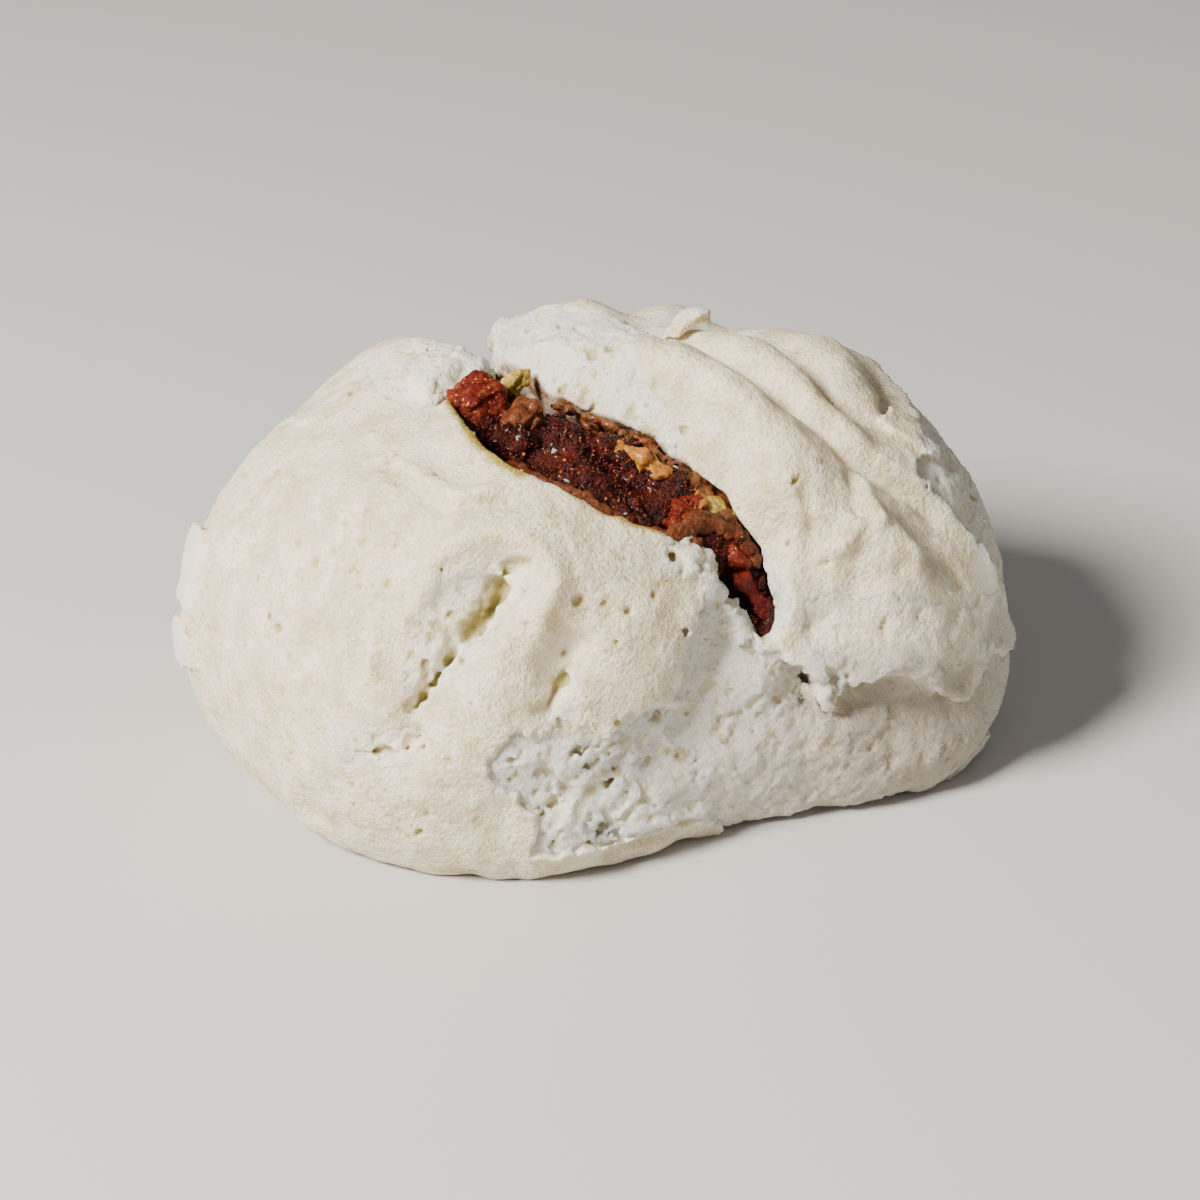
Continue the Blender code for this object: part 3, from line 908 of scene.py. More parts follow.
def all_pits():
    """Longitude, latitude and radius of each pit, large and small."""
    rng = np.random.default_rng(73)
    rows = list(PITS)
    for longitude, latitude, spread, count in PIT_PATCHES:
        wide = spread / max(math.cos(math.radians(latitude)), 0.3)
        for _ in range(count):
            rows.append((
                longitude + wide * rng.normal() * 0.6, latitude + spread * rng.normal() * 0.6,
                SMALL_PIT + (LARGE_PIT - SMALL_PIT) * rng.random(),
            ))
    return rows


PINHOLES = all_pits()
PRICK_DEPTH = 0.8
PRICK_ABOVE = 0.5


def prick_gap(places):
    """Distance to the nearest of the small pricks, which come in patches."""
    return bubbles(places, 2.8, 0.1, 0.42, 71) + 0.5 * step_up(lumps(places, 9.0, 72), -0.1, 0.3)


top_spots = np.nonzero((skin > -PRICK_DEPTH) & (skin < PRICK_ABOVE))[0]
top_places = places[top_spots]
top = np.maximum(dough[top_spots], -prick_gap(top_places))
dough[top_spots] = top + 0.28 * lumps(top_places, 6.0, 11) + 0.24 * lumps(top_places, 2.8, 12)
dough[top_spots] += 0.09 * lumps(top_places, 1.2, 13)
report("skin pricked")

# %% Largest pits, each in a small box of the grid
carved = np.where(raw_dough < 0.0, -INNER_BAND, OUTER_BAND).astype(np.float32)
carved[shell] = dough
LONGEST_REACH = 60.0
RAY_STEP = 0.1
PIT_BOX = 5


def skin_place(longitude, latitude):
    """Place in millimetres where a line out from the globe's centre leaves the bun."""
    steps = np.arange(0.0, LONGEST_REACH, RAY_STEP, dtype=np.float32)
    line = CORE + steps[:, None] * directions([(longitude, latitude)])
    inside_bun = dough_grid.read(smooth_dough, line) < 0.0
    return line[np.nonzero(inside_bun)[0].max()]


def press_pit(longitude, latitude, radius):
    middle = skin_place(longitude, latitude)
    low = np.maximum(dough_grid.index(middle) - PIT_BOX, 0)
    high = np.minimum(low + 2 * PIT_BOX + 1, dough_grid.size)
    box = tuple(slice(start, end) for start, end in zip(low, high))
    rows = [np.arange(start, end) for start, end in zip(low, high)]
    spots = np.stack(np.meshgrid(*rows, indexing="ij"), -1)
    here = (spots.reshape(-1, 3) + dough_grid.corner) * np.float32(DOUGH_VOXEL)
    away = np.linalg.norm(here - middle, axis=1) + 0.3 * lumps(here.astype(np.float32), 1.1, 74)
    carved[box] = np.maximum(carved[box], (radius - away).reshape(carved[box].shape))


for row in PINHOLES:
    press_pit(*row)
report("pits pressed", len(PINHOLES))

# %% [markdown]
# ## From the grid back to a mesh
#
# The carved field becomes a mesh with one small quad for each voxel that the surface crosses. Carving
# may leave loose flecks and sealed bubbles, and small sheets like those are dropped. Decimate then takes
# triangles away where the surface is smooth, and leaves them dense where it is rough.

# %% Mesh helpers
TRIANGLE_GOAL = 190000


def large_sheets(points, quads, least):
    """Only the connected sheets of a mesh that have at least so many points."""
    label = np.arange(len(points))
    ends = np.concatenate([quads[:, [0, 1]], quads[:, [1, 2]], quads[:, [2, 3]]])
    while True:
        before = label.copy()
        lowest = np.minimum(label[ends[:, 0]], label[ends[:, 1]])
        np.minimum.at(label, ends[:, 0], lowest)
        np.minimum.at(label, ends[:, 1], lowest)
        label = label[label]
        if np.array_equal(before, label):
            break
    kept = np.bincount(label, minlength=len(points))[label] >= least
    renumber = np.cumsum(kept) - 1
    return points[kept], renumber[quads[kept[quads[:, 0]]]]


def new_item(name, points, faces):
    """Smooth mesh object from points in millimetres and faces of equal size."""
    data = bpy.data.meshes.new(name)
    sides = faces.shape[1]
    data.vertices.add(len(points))
    data.vertices.foreach_set("co", (points * MM).astype(np.float32).ravel())
    data.loops.add(faces.size)
    data.loops.foreach_set("vertex_index", faces.astype(np.int32).ravel())
    data.polygons.add(len(faces))
    data.polygons.foreach_set("loop_start", np.arange(0, faces.size, sides, dtype=np.int32))
    data.update(calc_edges=True)
    data.shade_smooth()
    item = bpy.data.objects.new(name, data)
    bpy.context.scene.collection.objects.link(item)
    return item


def made_plain(item):
    """Replaces an object's mesh by what its modifiers make of it."""
    graph = bpy.context.evaluated_depsgraph_get()
    data = bpy.data.meshes.new_from_object(item.evaluated_get(graph), depsgraph=graph)
    item.modifiers.clear()
    item.data = data
    return data


def thinned(name, points, quads, goal):
    """Mesh object with at most about goal triangles."""
    item = new_item(name, points, quads)
    if 2 * len(quads) > goal:
        thin = item.modifiers.new("thin", "DECIMATE")
        thin.ratio = goal / (2.0 * len(quads))
        thin.use_collapse_triangulate = True
    made_plain(item)
    item.data.shade_smooth()
    triangles = sum(len(face.vertices) - 2 for face in item.data.polygons)
    report(name, "quads", len(quads), "triangles", triangles)
    return item


floor_row = np.zeros(dough_grid.size[2])
heights = dough_grid.places((floor_row, floor_row, np.arange(dough_grid.size[2])))[:, 2]
carved = np.maximum(carved, -heights[None, None, :])
report("carved voxels", carved.shape)

# %% [markdown]
# ## Fine crumb in sheets of its own
#
# The tufts and pores of torn bread are finer than the grid of the whole bun. So the torn places are
# carved a second time, in voxels about two thirds as wide, as thick closed sheets: one at the front, one
# along the tear and the back, one for the scuffed left lobe. Each lies in the bun, whose own surface is
# set back beneath it. That spends the triangles where the roughness is.

# %% Where each sheet lies
FINE_VOXEL = 0.19
CRUMB_DEPTH = 1.5
BED_DEPTH = 0.85
EDGE_DIVE = 0.12
CRUMB_PIECES = ("front_crumb", "back_crumb", "left_crumb")


def piece_map(piece):
    """Depth in radians inside the outlines that a sheet of crumb covers."""
    outlines = [outline for name, _, outline in SCUFFS if name == piece]
    if piece == "front_crumb":
        outlines.append(FRONT_PATCH)
    if piece == "back_crumb":
        outlines.append(TEAR_PATCH)
    depths = [depth_inside(map_outward, outline, PATCH_SPAN) for outline in outlines]
    return as_map(np.maximum.reduce(depths))


def strength_map():
    """1 in open crumb, less on a light scuff."""
    open_depth = np.maximum(front_map, tear_map)
    return np.maximum(scuffed_map, step_up(open_depth, -0.02, 0.02)).astype(np.float32)


piece_maps = {piece: piece_map(piece) for piece in CRUMB_PIECES}
strong_map = strength_map()


def piece_depth(piece, places, reach, spots, wandering):
    """Millimetres inside a sheet's outline. Where outlines overlap, the first piece has the place."""
    depth = read_map(piece_maps[piece], spots) * reach + wandering
    for earlier in CRUMB_PIECES[:CRUMB_PIECES.index(piece)]:
        depth = np.minimum(depth, -read_map(piece_maps[earlier], spots) * reach - wandering)
    return depth


shell_wander = np.zeros(len(places), np.float32)
shell_wander[torn_spots] = edge_wander
all_depth = np.maximum.reduce([
    read_map(chart, spots) * reach + shell_wander for chart in piece_maps.values()
])
set_back = BED_DEPTH * step_up(all_depth, 0.35, 1.3)
report("voxels under fine crumb", int((set_back > 0.0).sum()))

# %% The bun itself
bed = carved.copy()
bed[shell] += set_back
bed = np.maximum(bed, -heights[None, None, :])
BUN_LEAST = 50000
bun_points, bun_quads = large_sheets(*dough_grid.surface(bed), BUN_LEAST)
bun = thinned("bun", bun_points, bun_quads, TRIANGLE_GOAL)

# %% Fine relief
PORES = (
    # Size of the lumps that make the pores, how much stays, depth and seed.
    (1.4, 0.38, 0.40, 39),
    (0.8, 0.40, 0.26, 40),
)


def fine_relief(places):
    """Millimetres by which the finest tufts and pores lie below the carved crumb."""
    relief = 0.13 * clumps(places, 1.25, 36) + 0.14 * clumps(places, 0.68, 37)
    relief = relief + 0.10 * lumps(places, 0.42, 38)
    for size, left, depth, seed in PORES:
        relief += depth * step_up(lumps(places, size, seed), left, left + 0.22)
    return relief - 0.14

# %% Carving the fine sheets
SHEET_LEAST = 1000
BACK_GOAL = 150000
LEFT_GOAL = 70000
FINE_SPAN = 0.7
SHEET_OVERLAP = 0.15


def depth_field(depth):
    """A sheet's depth inside its outline as a dense field."""
    dense = np.full(dough_grid.size, -1.0, np.float32)
    dense[shell] = depth
    return dense


whole_depth = depth_field(all_depth)


def fine_sheet(piece, goal):
    """Closed sheet of fine crumb over one torn part of the bun."""
    depth = piece_depth(piece, places, reach, spots, shell_wander)
    covered = shell_rows[(depth > -0.5) & (np.abs(carved[shell]) < FINE_SPAN)]
    low = dough_grid.places(tuple(covered.min(0)[:, None]))[0] - CRUMB_DEPTH - 1.0
    high = dough_grid.places(tuple(covered.max(0)[:, None]))[0] + 1.0
    grid = grid_over(FINE_VOXEL, low, high)
    field = grid.taken_from(dough_grid, carved)
    own_edge = grid.taken_from(dough_grid, depth_field(depth))
    near = np.nonzero((own_edge > -0.5) & (field > -CRUMB_DEPTH - 0.4) & (field < FINE_SPAN))
    here = grid.places(near)
    field = field[near]
    rim = 0.12 * lumps(here, 0.6, 98)
    edge = own_edge[near] + rim
    whole_edge = dough_grid.read(whole_depth, here) + rim
    strength = read_map(strong_map, from_core(here)[2]) * step_up(whole_edge, 0.0, 0.6)
    beside_filling = step_up(dough_grid.read(raw_filling, here), 0.1, 0.9)
    coarse = np.clip(read_map(grade_map, from_core(here)[2]), 0.3, 1.3)
    relief = fine_relief(here) * (0.35 + 0.65 * strength)
    relief = relief * (0.3 + 0.7 * beside_filling) * (0.42 + 0.3 * coarse)
    top = field + relief + EDGE_DIVE * (1.0 - step_up(whole_edge, 0.0, 0.5))
    sheet = np.maximum(np.maximum(top, -field - CRUMB_DEPTH), -edge - SHEET_OVERLAP)
    dense = np.full(grid.size, OUTER_BAND, np.float32)
    dense[near] = np.maximum(sheet, -here[:, 2])
    points, quads = large_sheets(*grid.surface(dense), SHEET_LEAST)
    return thinned(piece, points, quads, goal)


shell_rows = np.stack(shell, 1)
front_crumb = fine_sheet("front_crumb", TRIANGLE_GOAL)
back_crumb = fine_sheet("back_crumb", BACK_GOAL)
left_crumb = fine_sheet("left_crumb", LEFT_GOAL)

# %% [markdown]
# ## What the colours need to know
#
# Colour follows the tear: crumb is cooler and rougher than skin, and sauce has soaked into the crumb
# beside the filling. Light and shade are painted too: olive painted shade in pits and in the deep parts
# of cracks, warm tan painted shade in hollows and a darker tan over the lower right crumb, and painted
# highlights on raised crumb. Each of these is a number at each point of the mesh, which the material
# reads by its name.

# %% Numbers at each point
AMBER_EDGE = (
    (-160, 62.8), (-147, 61.3), (-140, 60.3), (-132, 58.4), (-125, 56.6), (-118, 55.3), (-111, 54.4),
)
RUSTY_EDGE = ((-110, 56), (-100, 53), (-90, 50), (-80, 47.5), (-70, 46))
STAIN = (-112, 74)
SCUFF_TINT = 0.6
SHADE_AT = (-27, -6)
SHADE_SPREAD = 0.42

blurred_bun = dough_grid.blurred(carved, 0.8)


def add_attribute(data, name, values):
    data.attributes.new(name, "FLOAT", "POINT").data.foreach_set("value", values.astype(np.float32))


def point_places(data):
    """Places of a mesh's points in millimetres."""
    places = np.empty(len(data.vertices) * 3, np.float32)
    data.vertices.foreach_get("co", places)
    return places.reshape(-1, 3) / MM


def add_numbers(item, fine):
    """Stores the numbers that steer the dough's colours. Fine says that the piece is all crumb."""
    data = item.data
    places = point_places(data)
    outward, reach, spots = from_core(places)
    uneven = wander(places)
    hem_gap = read_map(far_hem_map, spots) * MEAN_REACH
    calm = 1.0 - HEM_CALM * np.exp(-((hem_gap / FAR_HEM_SPREAD) ** 2))
    front = read_map(front_map, spots) * reach + uneven * calm
    tear = read_map(tear_map, spots) * reach + 0.3 * uneven
    filling_gap = dough_grid.read(raw_filling, places)
    buried = -dough_grid.read(smooth_dough, places)
    bend = dough_grid.read(blurred_bun, places)
    crumb = np.maximum(step_up(front, -0.6, 0.5), step_up(tear, -0.3, 0.9))
    crumb = np.maximum(crumb, step_up(buried, 0.9, 1.7))
    crumb = np.maximum(crumb, SCUFF_TINT * read_map(scuffed_map, spots))
    crumb = np.maximum(crumb, step_up(-buried, 0.6, 1.1))
    # Painted shade: hollows, found from the blurred field, are painted a warm tan, most of all in the
    # crumb.
    hollow = np.clip(-bend / 0.8, 0.0, 1.0) * (0.35 + 0.65 * crumb)
    # Painted highlight: raised parts, found from the blurred field, are painted a paler, cooler cream.
    ridge_highlight = np.clip(bend / 0.6, 0.0, 1.0)
    if fine:
        relief = fine_relief(places)
        shown = step_up(dough_grid.read(whole_depth, places), 0.2, 1.2) * read_map(strong_map, spots)
        shown *= np.clip(read_map(grade_map, spots), 0.25, 1.0)
        # Painted shade in the fine pores.
        hollow = np.maximum(hollow, 0.8 * shown * step_up(relief, 0.02, 0.36))
        # Painted highlight on the tops of the fine tufts.
        ridge_highlight = np.maximum(ridge_highlight, 0.8 * shown * (1.0 - step_up(relief, -0.12, 0.02)))
    # Painted shade: the pricks and the pinholes are painted olive-tan inside.
    pit_shade = 1.0 - step_up(prick_gap(places), 0.0, 0.3)
    for longitude, latitude, radius in PINHOLES:
        away = np.linalg.norm(outward - directions([(longitude, latitude)]), axis=1) * reach
        pit_shade = np.maximum(pit_shade, 1.0 - step_up(away + 0.15 * uneven, 0.7 * radius, 1.3 * radius + 0.15))
    # Painted shade: the deep parts of the first four cracks are painted olive.
    olive = np.zeros(len(places), np.float32)
    for _, _, _, line in CRACKS[:4]:
        gap, _ = line_gap(outward, line, CRACK_SPAN)
        near_crack = 1.0 - step_up(gap * reach, 0.5, 1.6)
        olive = np.maximum(olive, near_crack * step_up(buried, 0.5, 1.5))
    soak = 1.0 - step_up(filling_gap + 0.25 * uneven, 0.1, 1.1)
    stain = np.linalg.norm(outward - directions([STAIN]), axis=1) * reach + 0.8 * uneven
    soak = np.maximum(soak, (1.0 - step_up(stain, 2.0, 5.0)) * (1.0 - step_up(filling_gap, 0.8, 2.0)))
    soak *= step_up(buried, -0.6, 0.0)
    amber = line_gap(outward, AMBER_EDGE, 0.2)[0] * reach
    rusty = line_gap(outward, RUSTY_EDGE, 0.2)[0] * reach + 0.5
    amber = 1.0 - step_up(np.minimum(amber, rusty) + 0.25 * uneven, 0.6, 0.95)
    amber *= 1.0 - 0.85 * step_up(buried + 0.5 * uneven, 1.2, 2.8)
    away = np.linalg.norm(outward - directions([SHADE_AT]), axis=1)
    shade = np.exp(-((away / SHADE_SPREAD) ** 2))
    numbers = {
        "shade": shade * crumb, "crumb": crumb, "hollow": hollow, "ridge_highlight": ridge_highlight, "olive": olive,
        "soak": soak, "amber": amber, "pit_shade": pit_shade,
        "loose": crumb * (1.0 - hollow) * (places[:, 2] > 1.0),
    }
    for name, values in numbers.items():
        add_attribute(data, name, values)
    report(item.name, "share of crumb", crumb.mean().round(2))


dough_pieces = (bun, front_crumb, back_crumb, left_crumb)
for item in dough_pieces:
    add_numbers(item, item is not bun)

# %% [markdown]
# ## The dough's finish
#
# Steamed dough scatters light, so it looks soft and a little translucent, with almost no gloss. The
# skin is a warm white with a fine leathery grain. Open crumb is cooler, and gets a coarser bump. The
# numbers made above steer the mix, and all patterns are read in the object's own coordinates.

# %% Node helpers


def set_inputs(tree, node, values):
    """Gives inputs their values. A value is plain or another node's output."""
    for name, value in values.items():
        if isinstance(value, bpy.types.NodeSocket):
            tree.links.new(value, node.inputs[name])
        else:
            node.inputs[name].default_value = value


def add_node(tree, kind, **settings):
    node = tree.nodes.new(kind)
    for key, value in settings.items():
        if key in node.inputs:
            node.inputs[key].default_value = value
        else:
            setattr(node, key, value)
    return node


def attribute(tree, name):
    return add_node(tree, "ShaderNodeAttribute", attribute_name=name).outputs["Fac"]


def blend_colours(tree, share, first, second):
    """Mix of two colours. A colour is a value or another node's output, and so is the share."""
    node = add_node(tree, "ShaderNodeMix", data_type="RGBA")
    first, second = (
        value if isinstance(value, bpy.types.NodeSocket) else (*value, 1.0) for value in (first, second)
    )
    set_inputs(tree, node, {0: share, 6: first, 7: second})
    return node.outputs[2]


def noise_texture(tree, size_mm, detail=3.0, roughness=0.55):
    """Noise with features about size_mm across, in object coordinates."""
    place = tree.nodes.new("ShaderNodeTexCoord").outputs["Object"]
    node = add_node(tree, "ShaderNodeTexNoise")
    set_inputs(tree, node, {
        "Vector": place, "Scale": 1.0 / (size_mm * MM), "Detail": detail, "Roughness": roughness,
    })
    return node.outputs["Fac"]


def ramp(tree, value, low, high, out_low=0.0, out_high=1.0):
    node = add_node(tree, "ShaderNodeMapRange", clamp=True)
    set_inputs(tree, node, {
        "Value": value, "From Min": low, "From Max": high, "To Min": out_low, "To Max": out_high,
    })
    return node.outputs["Result"]


def combine(tree, operation, first, second):
    """Sum or product of two numbers, each a value or another node's output."""
    node = add_node(tree, "ShaderNodeMath", operation=operation)
    set_inputs(tree, node, {0: first, 1: second})
    return node.outputs[0]


def product(tree, first, second):
    return combine(tree, "MULTIPLY", first, second)


def new_material(name):
    material = bpy.data.materials.new(name)
    material.use_nodes = True
    return material, material.node_tree, material.node_tree.nodes["Principled BSDF"]


def add_bump(tree, height, shader):
    """Tilts the shading as if the surface stood height millimetres higher."""
    bump = add_node(tree, "ShaderNodeBump")
    set_inputs(tree, bump, {"Strength": 1.0, "Distance": MM, "Height": height})
    set_inputs(tree, shader, {"Normal": bump.outputs["Normal"]})


report("node helpers ready")

# %% Dough
SKIN_COLOUR = (0.83, 0.74, 0.55)
SKIN_MOTTLE = (0.62, 0.52, 0.32)
SKIN_FLOUR = (0.93, 0.875, 0.76)
SKIN_SPECK = (0.50, 0.42, 0.27)
CRUMB_COLOUR = (0.95, 0.89, 0.745)
# Painted highlight on raised crumb.
RIDGE_HIGHLIGHT_COLOUR = (0.96, 0.925, 0.84)
# Painted shade: warm tan in hollows, and a darker tan over the lower right crumb.
HOLLOW_SHADE_COLOUR = (0.93, 0.81, 0.53)
SHADE_COLOUR = (0.42, 0.365, 0.28)
CRUMB_GRAIN = (0.78, 0.69, 0.50)
# Painted shade in pits.
PIT_SHADE_COLOUR = (0.52, 0.43, 0.18)
# Painted shade in the deep parts of cracks.
CRACK_SHADE_COLOUR = (0.50, 0.42, 0.18)
AMBER_COLOUR = (0.36, 0.25, 0.045)
SOAK_COLOUR = (0.25, 0.085, 0.022)


def dough_material():
    material, tree, shader = new_material("dough_finish")
    crumb = attribute(tree, "crumb")
    mottle = ramp(tree, noise_texture(tree, 4.0, 5.0, 0.68), 0.42, 0.64)
    skin_colour = blend_colours(tree, mottle, SKIN_COLOUR, SKIN_MOTTLE)
    flour = ramp(tree, noise_texture(tree, 0.9, 4.0, 0.7), 0.52, 0.68, 0.0, 0.6)
    skin_colour = blend_colours(tree, flour, skin_colour, SKIN_FLOUR)
    speck = ramp(tree, noise_texture(tree, 0.34, 2.0, 0.6), 0.52, 0.68, 0.0, 0.75)
    skin_colour = blend_colours(tree, speck, skin_colour, SKIN_SPECK)
    colour = blend_colours(tree, crumb, skin_colour, CRUMB_COLOUR)
    grainy = product(tree, ramp(tree, noise_texture(tree, 0.32, 2.0, 0.6), 0.48, 0.68), crumb)
    colour = blend_colours(tree, product(tree, grainy, 0.6), colour, CRUMB_GRAIN)
    # Painted highlight and painted shade first, then the amber edge and the soaked sauce.
    for name, most, tint in (
        ("ridge_highlight", crumb, RIDGE_HIGHLIGHT_COLOUR), ("shade", 0.9, SHADE_COLOUR), ("hollow", 1.0, HOLLOW_SHADE_COLOUR),
        ("pit_shade", 0.8, PIT_SHADE_COLOUR), ("olive", 1.0, CRACK_SHADE_COLOUR), ("amber", 1.0, AMBER_COLOUR),
        ("soak", 1.0, SOAK_COLOUR),
    ):
        colour = blend_colours(tree, product(tree, attribute(tree, name), most), colour, tint)
    set_inputs(tree, shader, {
        "Base Color": colour, "Roughness": 0.6, "Specular IOR Level": 0.3, "Subsurface Weight": 0.5,
        "Subsurface Radius": (1.0, 0.74, 0.42), "Subsurface Scale": 0.0022,
    })
    grain = product(tree, noise_texture(tree, 0.40, 3.0, 0.6), 0.42)
    leather = product(tree, noise_texture(tree, 1.8, 4.0, 0.6), 0.75)
    fluff = product(tree, noise_texture(tree, 0.45, 4.0, 0.75), 0.65)
    height = tree.nodes.new("ShaderNodeMix")
    height.data_type = "FLOAT"
    tree.links.new(crumb, height.inputs[0])
    tree.links.new(combine(tree, "ADD", grain, leather), height.inputs[2])
    tree.links.new(fluff, height.inputs[3])
    add_bump(tree, height.outputs[0], shader)
    return material


dough_finish = dough_material()
for item in dough_pieces:
    item.data.materials.clear()
    item.data.materials.append(dough_finish)
report("dough finished")

# %% [markdown]
# ## Crumbs on the torn dough
#
# Torn bread is covered in tiny tufts and loose crumbs, finer than the carving grid. Geometry Nodes
# scatter them: points are strewn over the torn parts of the bun, each gets a small ball of its own size
# and turn, and a noise pushes the balls out of round. A point takes the numbers for the colours from the
# dough beneath it, so the crumbs match the place where they lie.

# %% Node tree that scatters grains
SCATTER_INPUTS = (
    # Name and kind of each input.
    ("Geometry", "NodeSocketGeometry"), ("Grains per square metre", "NodeSocketFloat"),
    ("Smallest", "NodeSocketFloat"), ("Largest", "NodeSocketFloat"), ("Raggedness", "NodeSocketFloat"),
    ("Seed", "NodeSocketInt"), ("Finish", "NodeSocketMaterial"),
)


def wired(tree, kind, values, **settings):
    node = add_node(tree, kind, **settings)
    set_inputs(tree, node, values)
    return node


def scatter_tree():
    """Tree that strews grains over a mesh, most where its attribute "loose" is highest."""
    tree = bpy.data.node_groups.new("scatter_grains", "GeometryNodeTree")
    for name, kind in SCATTER_INPUTS:
        tree.interface.new_socket(name, in_out="INPUT", socket_type=kind)
    tree.interface.new_socket("Geometry", in_out="OUTPUT", socket_type="NodeSocketGeometry")
    given = tree.nodes.new("NodeGroupInput").outputs

    loose = wired(tree, "GeometryNodeInputNamedAttribute", {"Name": "loose"}, data_type="FLOAT")
    points = wired(tree, "GeometryNodeDistributePointsOnFaces", {
        "Mesh": given["Geometry"], "Seed": given["Seed"],
        "Density": product(tree, loose.outputs["Attribute"], given["Grains per square metre"]),
    })

    ball = wired(tree, "GeometryNodeMeshIcoSphere", {"Radius": 0.5, "Subdivisions": 1})
    turn = wired(tree, "FunctionNodeRandomValue", {
        1: (math.tau, math.tau, math.tau), "Seed": given["Seed"],
    }, data_type="FLOAT_VECTOR")
    size = wired(tree, "FunctionNodeRandomValue", {
        0: given["Smallest"], 1: given["Largest"], "Seed": given["Seed"],
    }, data_type="FLOAT_VECTOR")
    placed = wired(tree, "GeometryNodeInstanceOnPoints", {
        "Points": points.outputs["Points"], "Instance": ball.outputs["Mesh"],
        "Rotation": turn.outputs[0], "Scale": size.outputs[0],
    })

    tint = add_node(tree, "FunctionNodeRandomValue", data_type="FLOAT")
    stored = wired(tree, "GeometryNodeStoreNamedAttribute", {
        "Geometry": placed.outputs["Instances"], "Name": "tint", "Value": tint.outputs[1],
    }, domain="INSTANCE")

    whole = wired(tree, "GeometryNodeRealizeInstances", {"Geometry": stored.outputs["Geometry"]})
    noise = add_node(tree, "ShaderNodeTexNoise", Scale=1.0 / (0.45 * MM))
    centred = wired(tree, "ShaderNodeVectorMath", {
        0: noise.outputs["Color"], 1: (0.5, 0.5, 0.5),
    }, operation="SUBTRACT")
    push = wired(tree, "ShaderNodeVectorMath", {
        0: centred.outputs[0], "Scale": given["Raggedness"],
    }, operation="SCALE")
    ragged = wired(tree, "GeometryNodeSetPosition", {
        "Geometry": whole.outputs["Geometry"], "Offset": push.outputs[0],
    })
    finish = wired(tree, "GeometryNodeSetMaterial", {
        "Geometry": ragged.outputs["Geometry"], "Material": given["Finish"],
    })
    wired(tree, "NodeGroupOutput", {"Geometry": finish.outputs["Geometry"]})
    return tree


grain_scatter = scatter_tree()


def scattered(name, source, values):
    """Plain mesh of the grains that the tree strews over a piece."""
    item = bpy.data.objects.new(name, source.data.copy())
    bpy.context.scene.collection.objects.link(item)
    scatter = item.modifiers.new("scatter", "NODES")
    scatter.node_group = grain_scatter
    for socket in grain_scatter.interface.items_tree:
        if socket.in_out == "INPUT" and socket.name in values:
            scatter[socket.identifier] = values[socket.name]
    made_plain(item)
    item.data.shade_smooth()
    report(name, "triangles", len(item.data.polygons))
    return item

# %% Crumbs over the torn dough
CRUMBS_PER_SQUARE_METRE = 1.6e6
crumbs = [
    scattered(f"loose_on_{item.name}", item, {
        "Grains per square metre": CRUMBS_PER_SQUARE_METRE, "Smallest": 0.10 * MM, "Largest": 0.28 * MM,
        "Raggedness": 0.12 * MM, "Seed": 5, "Finish": dough_finish,
    })
    for item in (front_crumb, back_crumb)
]

# %% [markdown]
# ## The pork filling
#
# The filling is a heap of small things in a thick sauce: minced pork, a few larger dice and strips of
# roast pork, and bits of fat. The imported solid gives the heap's outline. It is replaced by a smaller,
# lumpy core of sauce and mince, and by one piece for each kind of thing that lies on it. All of them
# are carved in a finer grid, so that they press into each other as soft food does.

# %% Places on the filling
FILLING_VOXEL = 0.22
FILLING_MARGIN = 2.4

filling_grid = grid_over(
    FILLING_VOXEL, filling_mesh[0].min(0) - FILLING_MARGIN, filling_mesh[0].max(0) + FILLING_MARGIN
)
heap = filling_grid.blurred(filling_grid.field(*filling_mesh), 0.5)
heap_tree = BVHTree.FromPolygons(filling_mesh[0].tolist(), filling_mesh[1].tolist())


def on_filling(longitude, latitude, lift=0.0):
    """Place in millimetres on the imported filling, or that far above it."""
    aloft = Vector(direction(longitude, latitude))
    hit = heap_tree.ray_cast(Vector(CORE) + aloft * 100.0, -aloft)[0]
    return np.array(hit + aloft * lift, np.float32)


report("top of the pork dice in mm", on_filling(-162, 67).round(1))

# %% Blocks and strips
BLOCK_ROUNDING = 1.1
BLOCK_UNEVENNESS = 0.7
STRIP_UNEVENNESS = 0.35

heap_spots = np.nonzero(np.abs(heap) < FILLING_MARGIN)
heap_places = filling_grid.places(heap_spots)
heap_gap = heap[heap_spots]


def shaken(places, size, seed):
    """Random shifts of places, alike within lumps of a size."""
    return np.stack([lumps(places, size, seed + k) for k in range(3)], 1)


def block(middle, size, turn, seed):
    """Field of a rough-cut block. Its height runs away from the globe's centre."""
    up = middle - CORE
    up /= np.linalg.norm(up)
    side = np.cross(up, (0.0, 1.0, 0.0))
    side /= np.linalg.norm(side)
    front = np.cross(up, side)
    lean = math.radians(turn)
    axes = np.stack([
        side * math.cos(lean) + front * math.sin(lean), front * math.cos(lean) - side * math.sin(lean), up
    ]).astype(np.float32)
    offset = heap_places - middle
    near = np.nonzero(np.linalg.norm(offset, axis=1) < max(size) + 1.5)[0]
    spots = offset[near] + BLOCK_UNEVENNESS * shaken(offset[near], 2.4, seed)
    over = np.abs(spots @ axes.T) - np.array(size, np.float32) / 2.0 + BLOCK_ROUNDING
    gap = np.linalg.norm(np.maximum(over, 0.0), axis=1) + np.minimum(over.max(1), 0.0) - BLOCK_ROUNDING
    field = np.full(len(heap_places), OUTER_BAND, np.float32)
    knobs = 0.42 * clumps(heap_places[near], 1.4, seed + 5)
    knobs = knobs + 0.18 * clumps(heap_places[near], 0.6, seed + 6)
    field[near] = gap + knobs
    return field


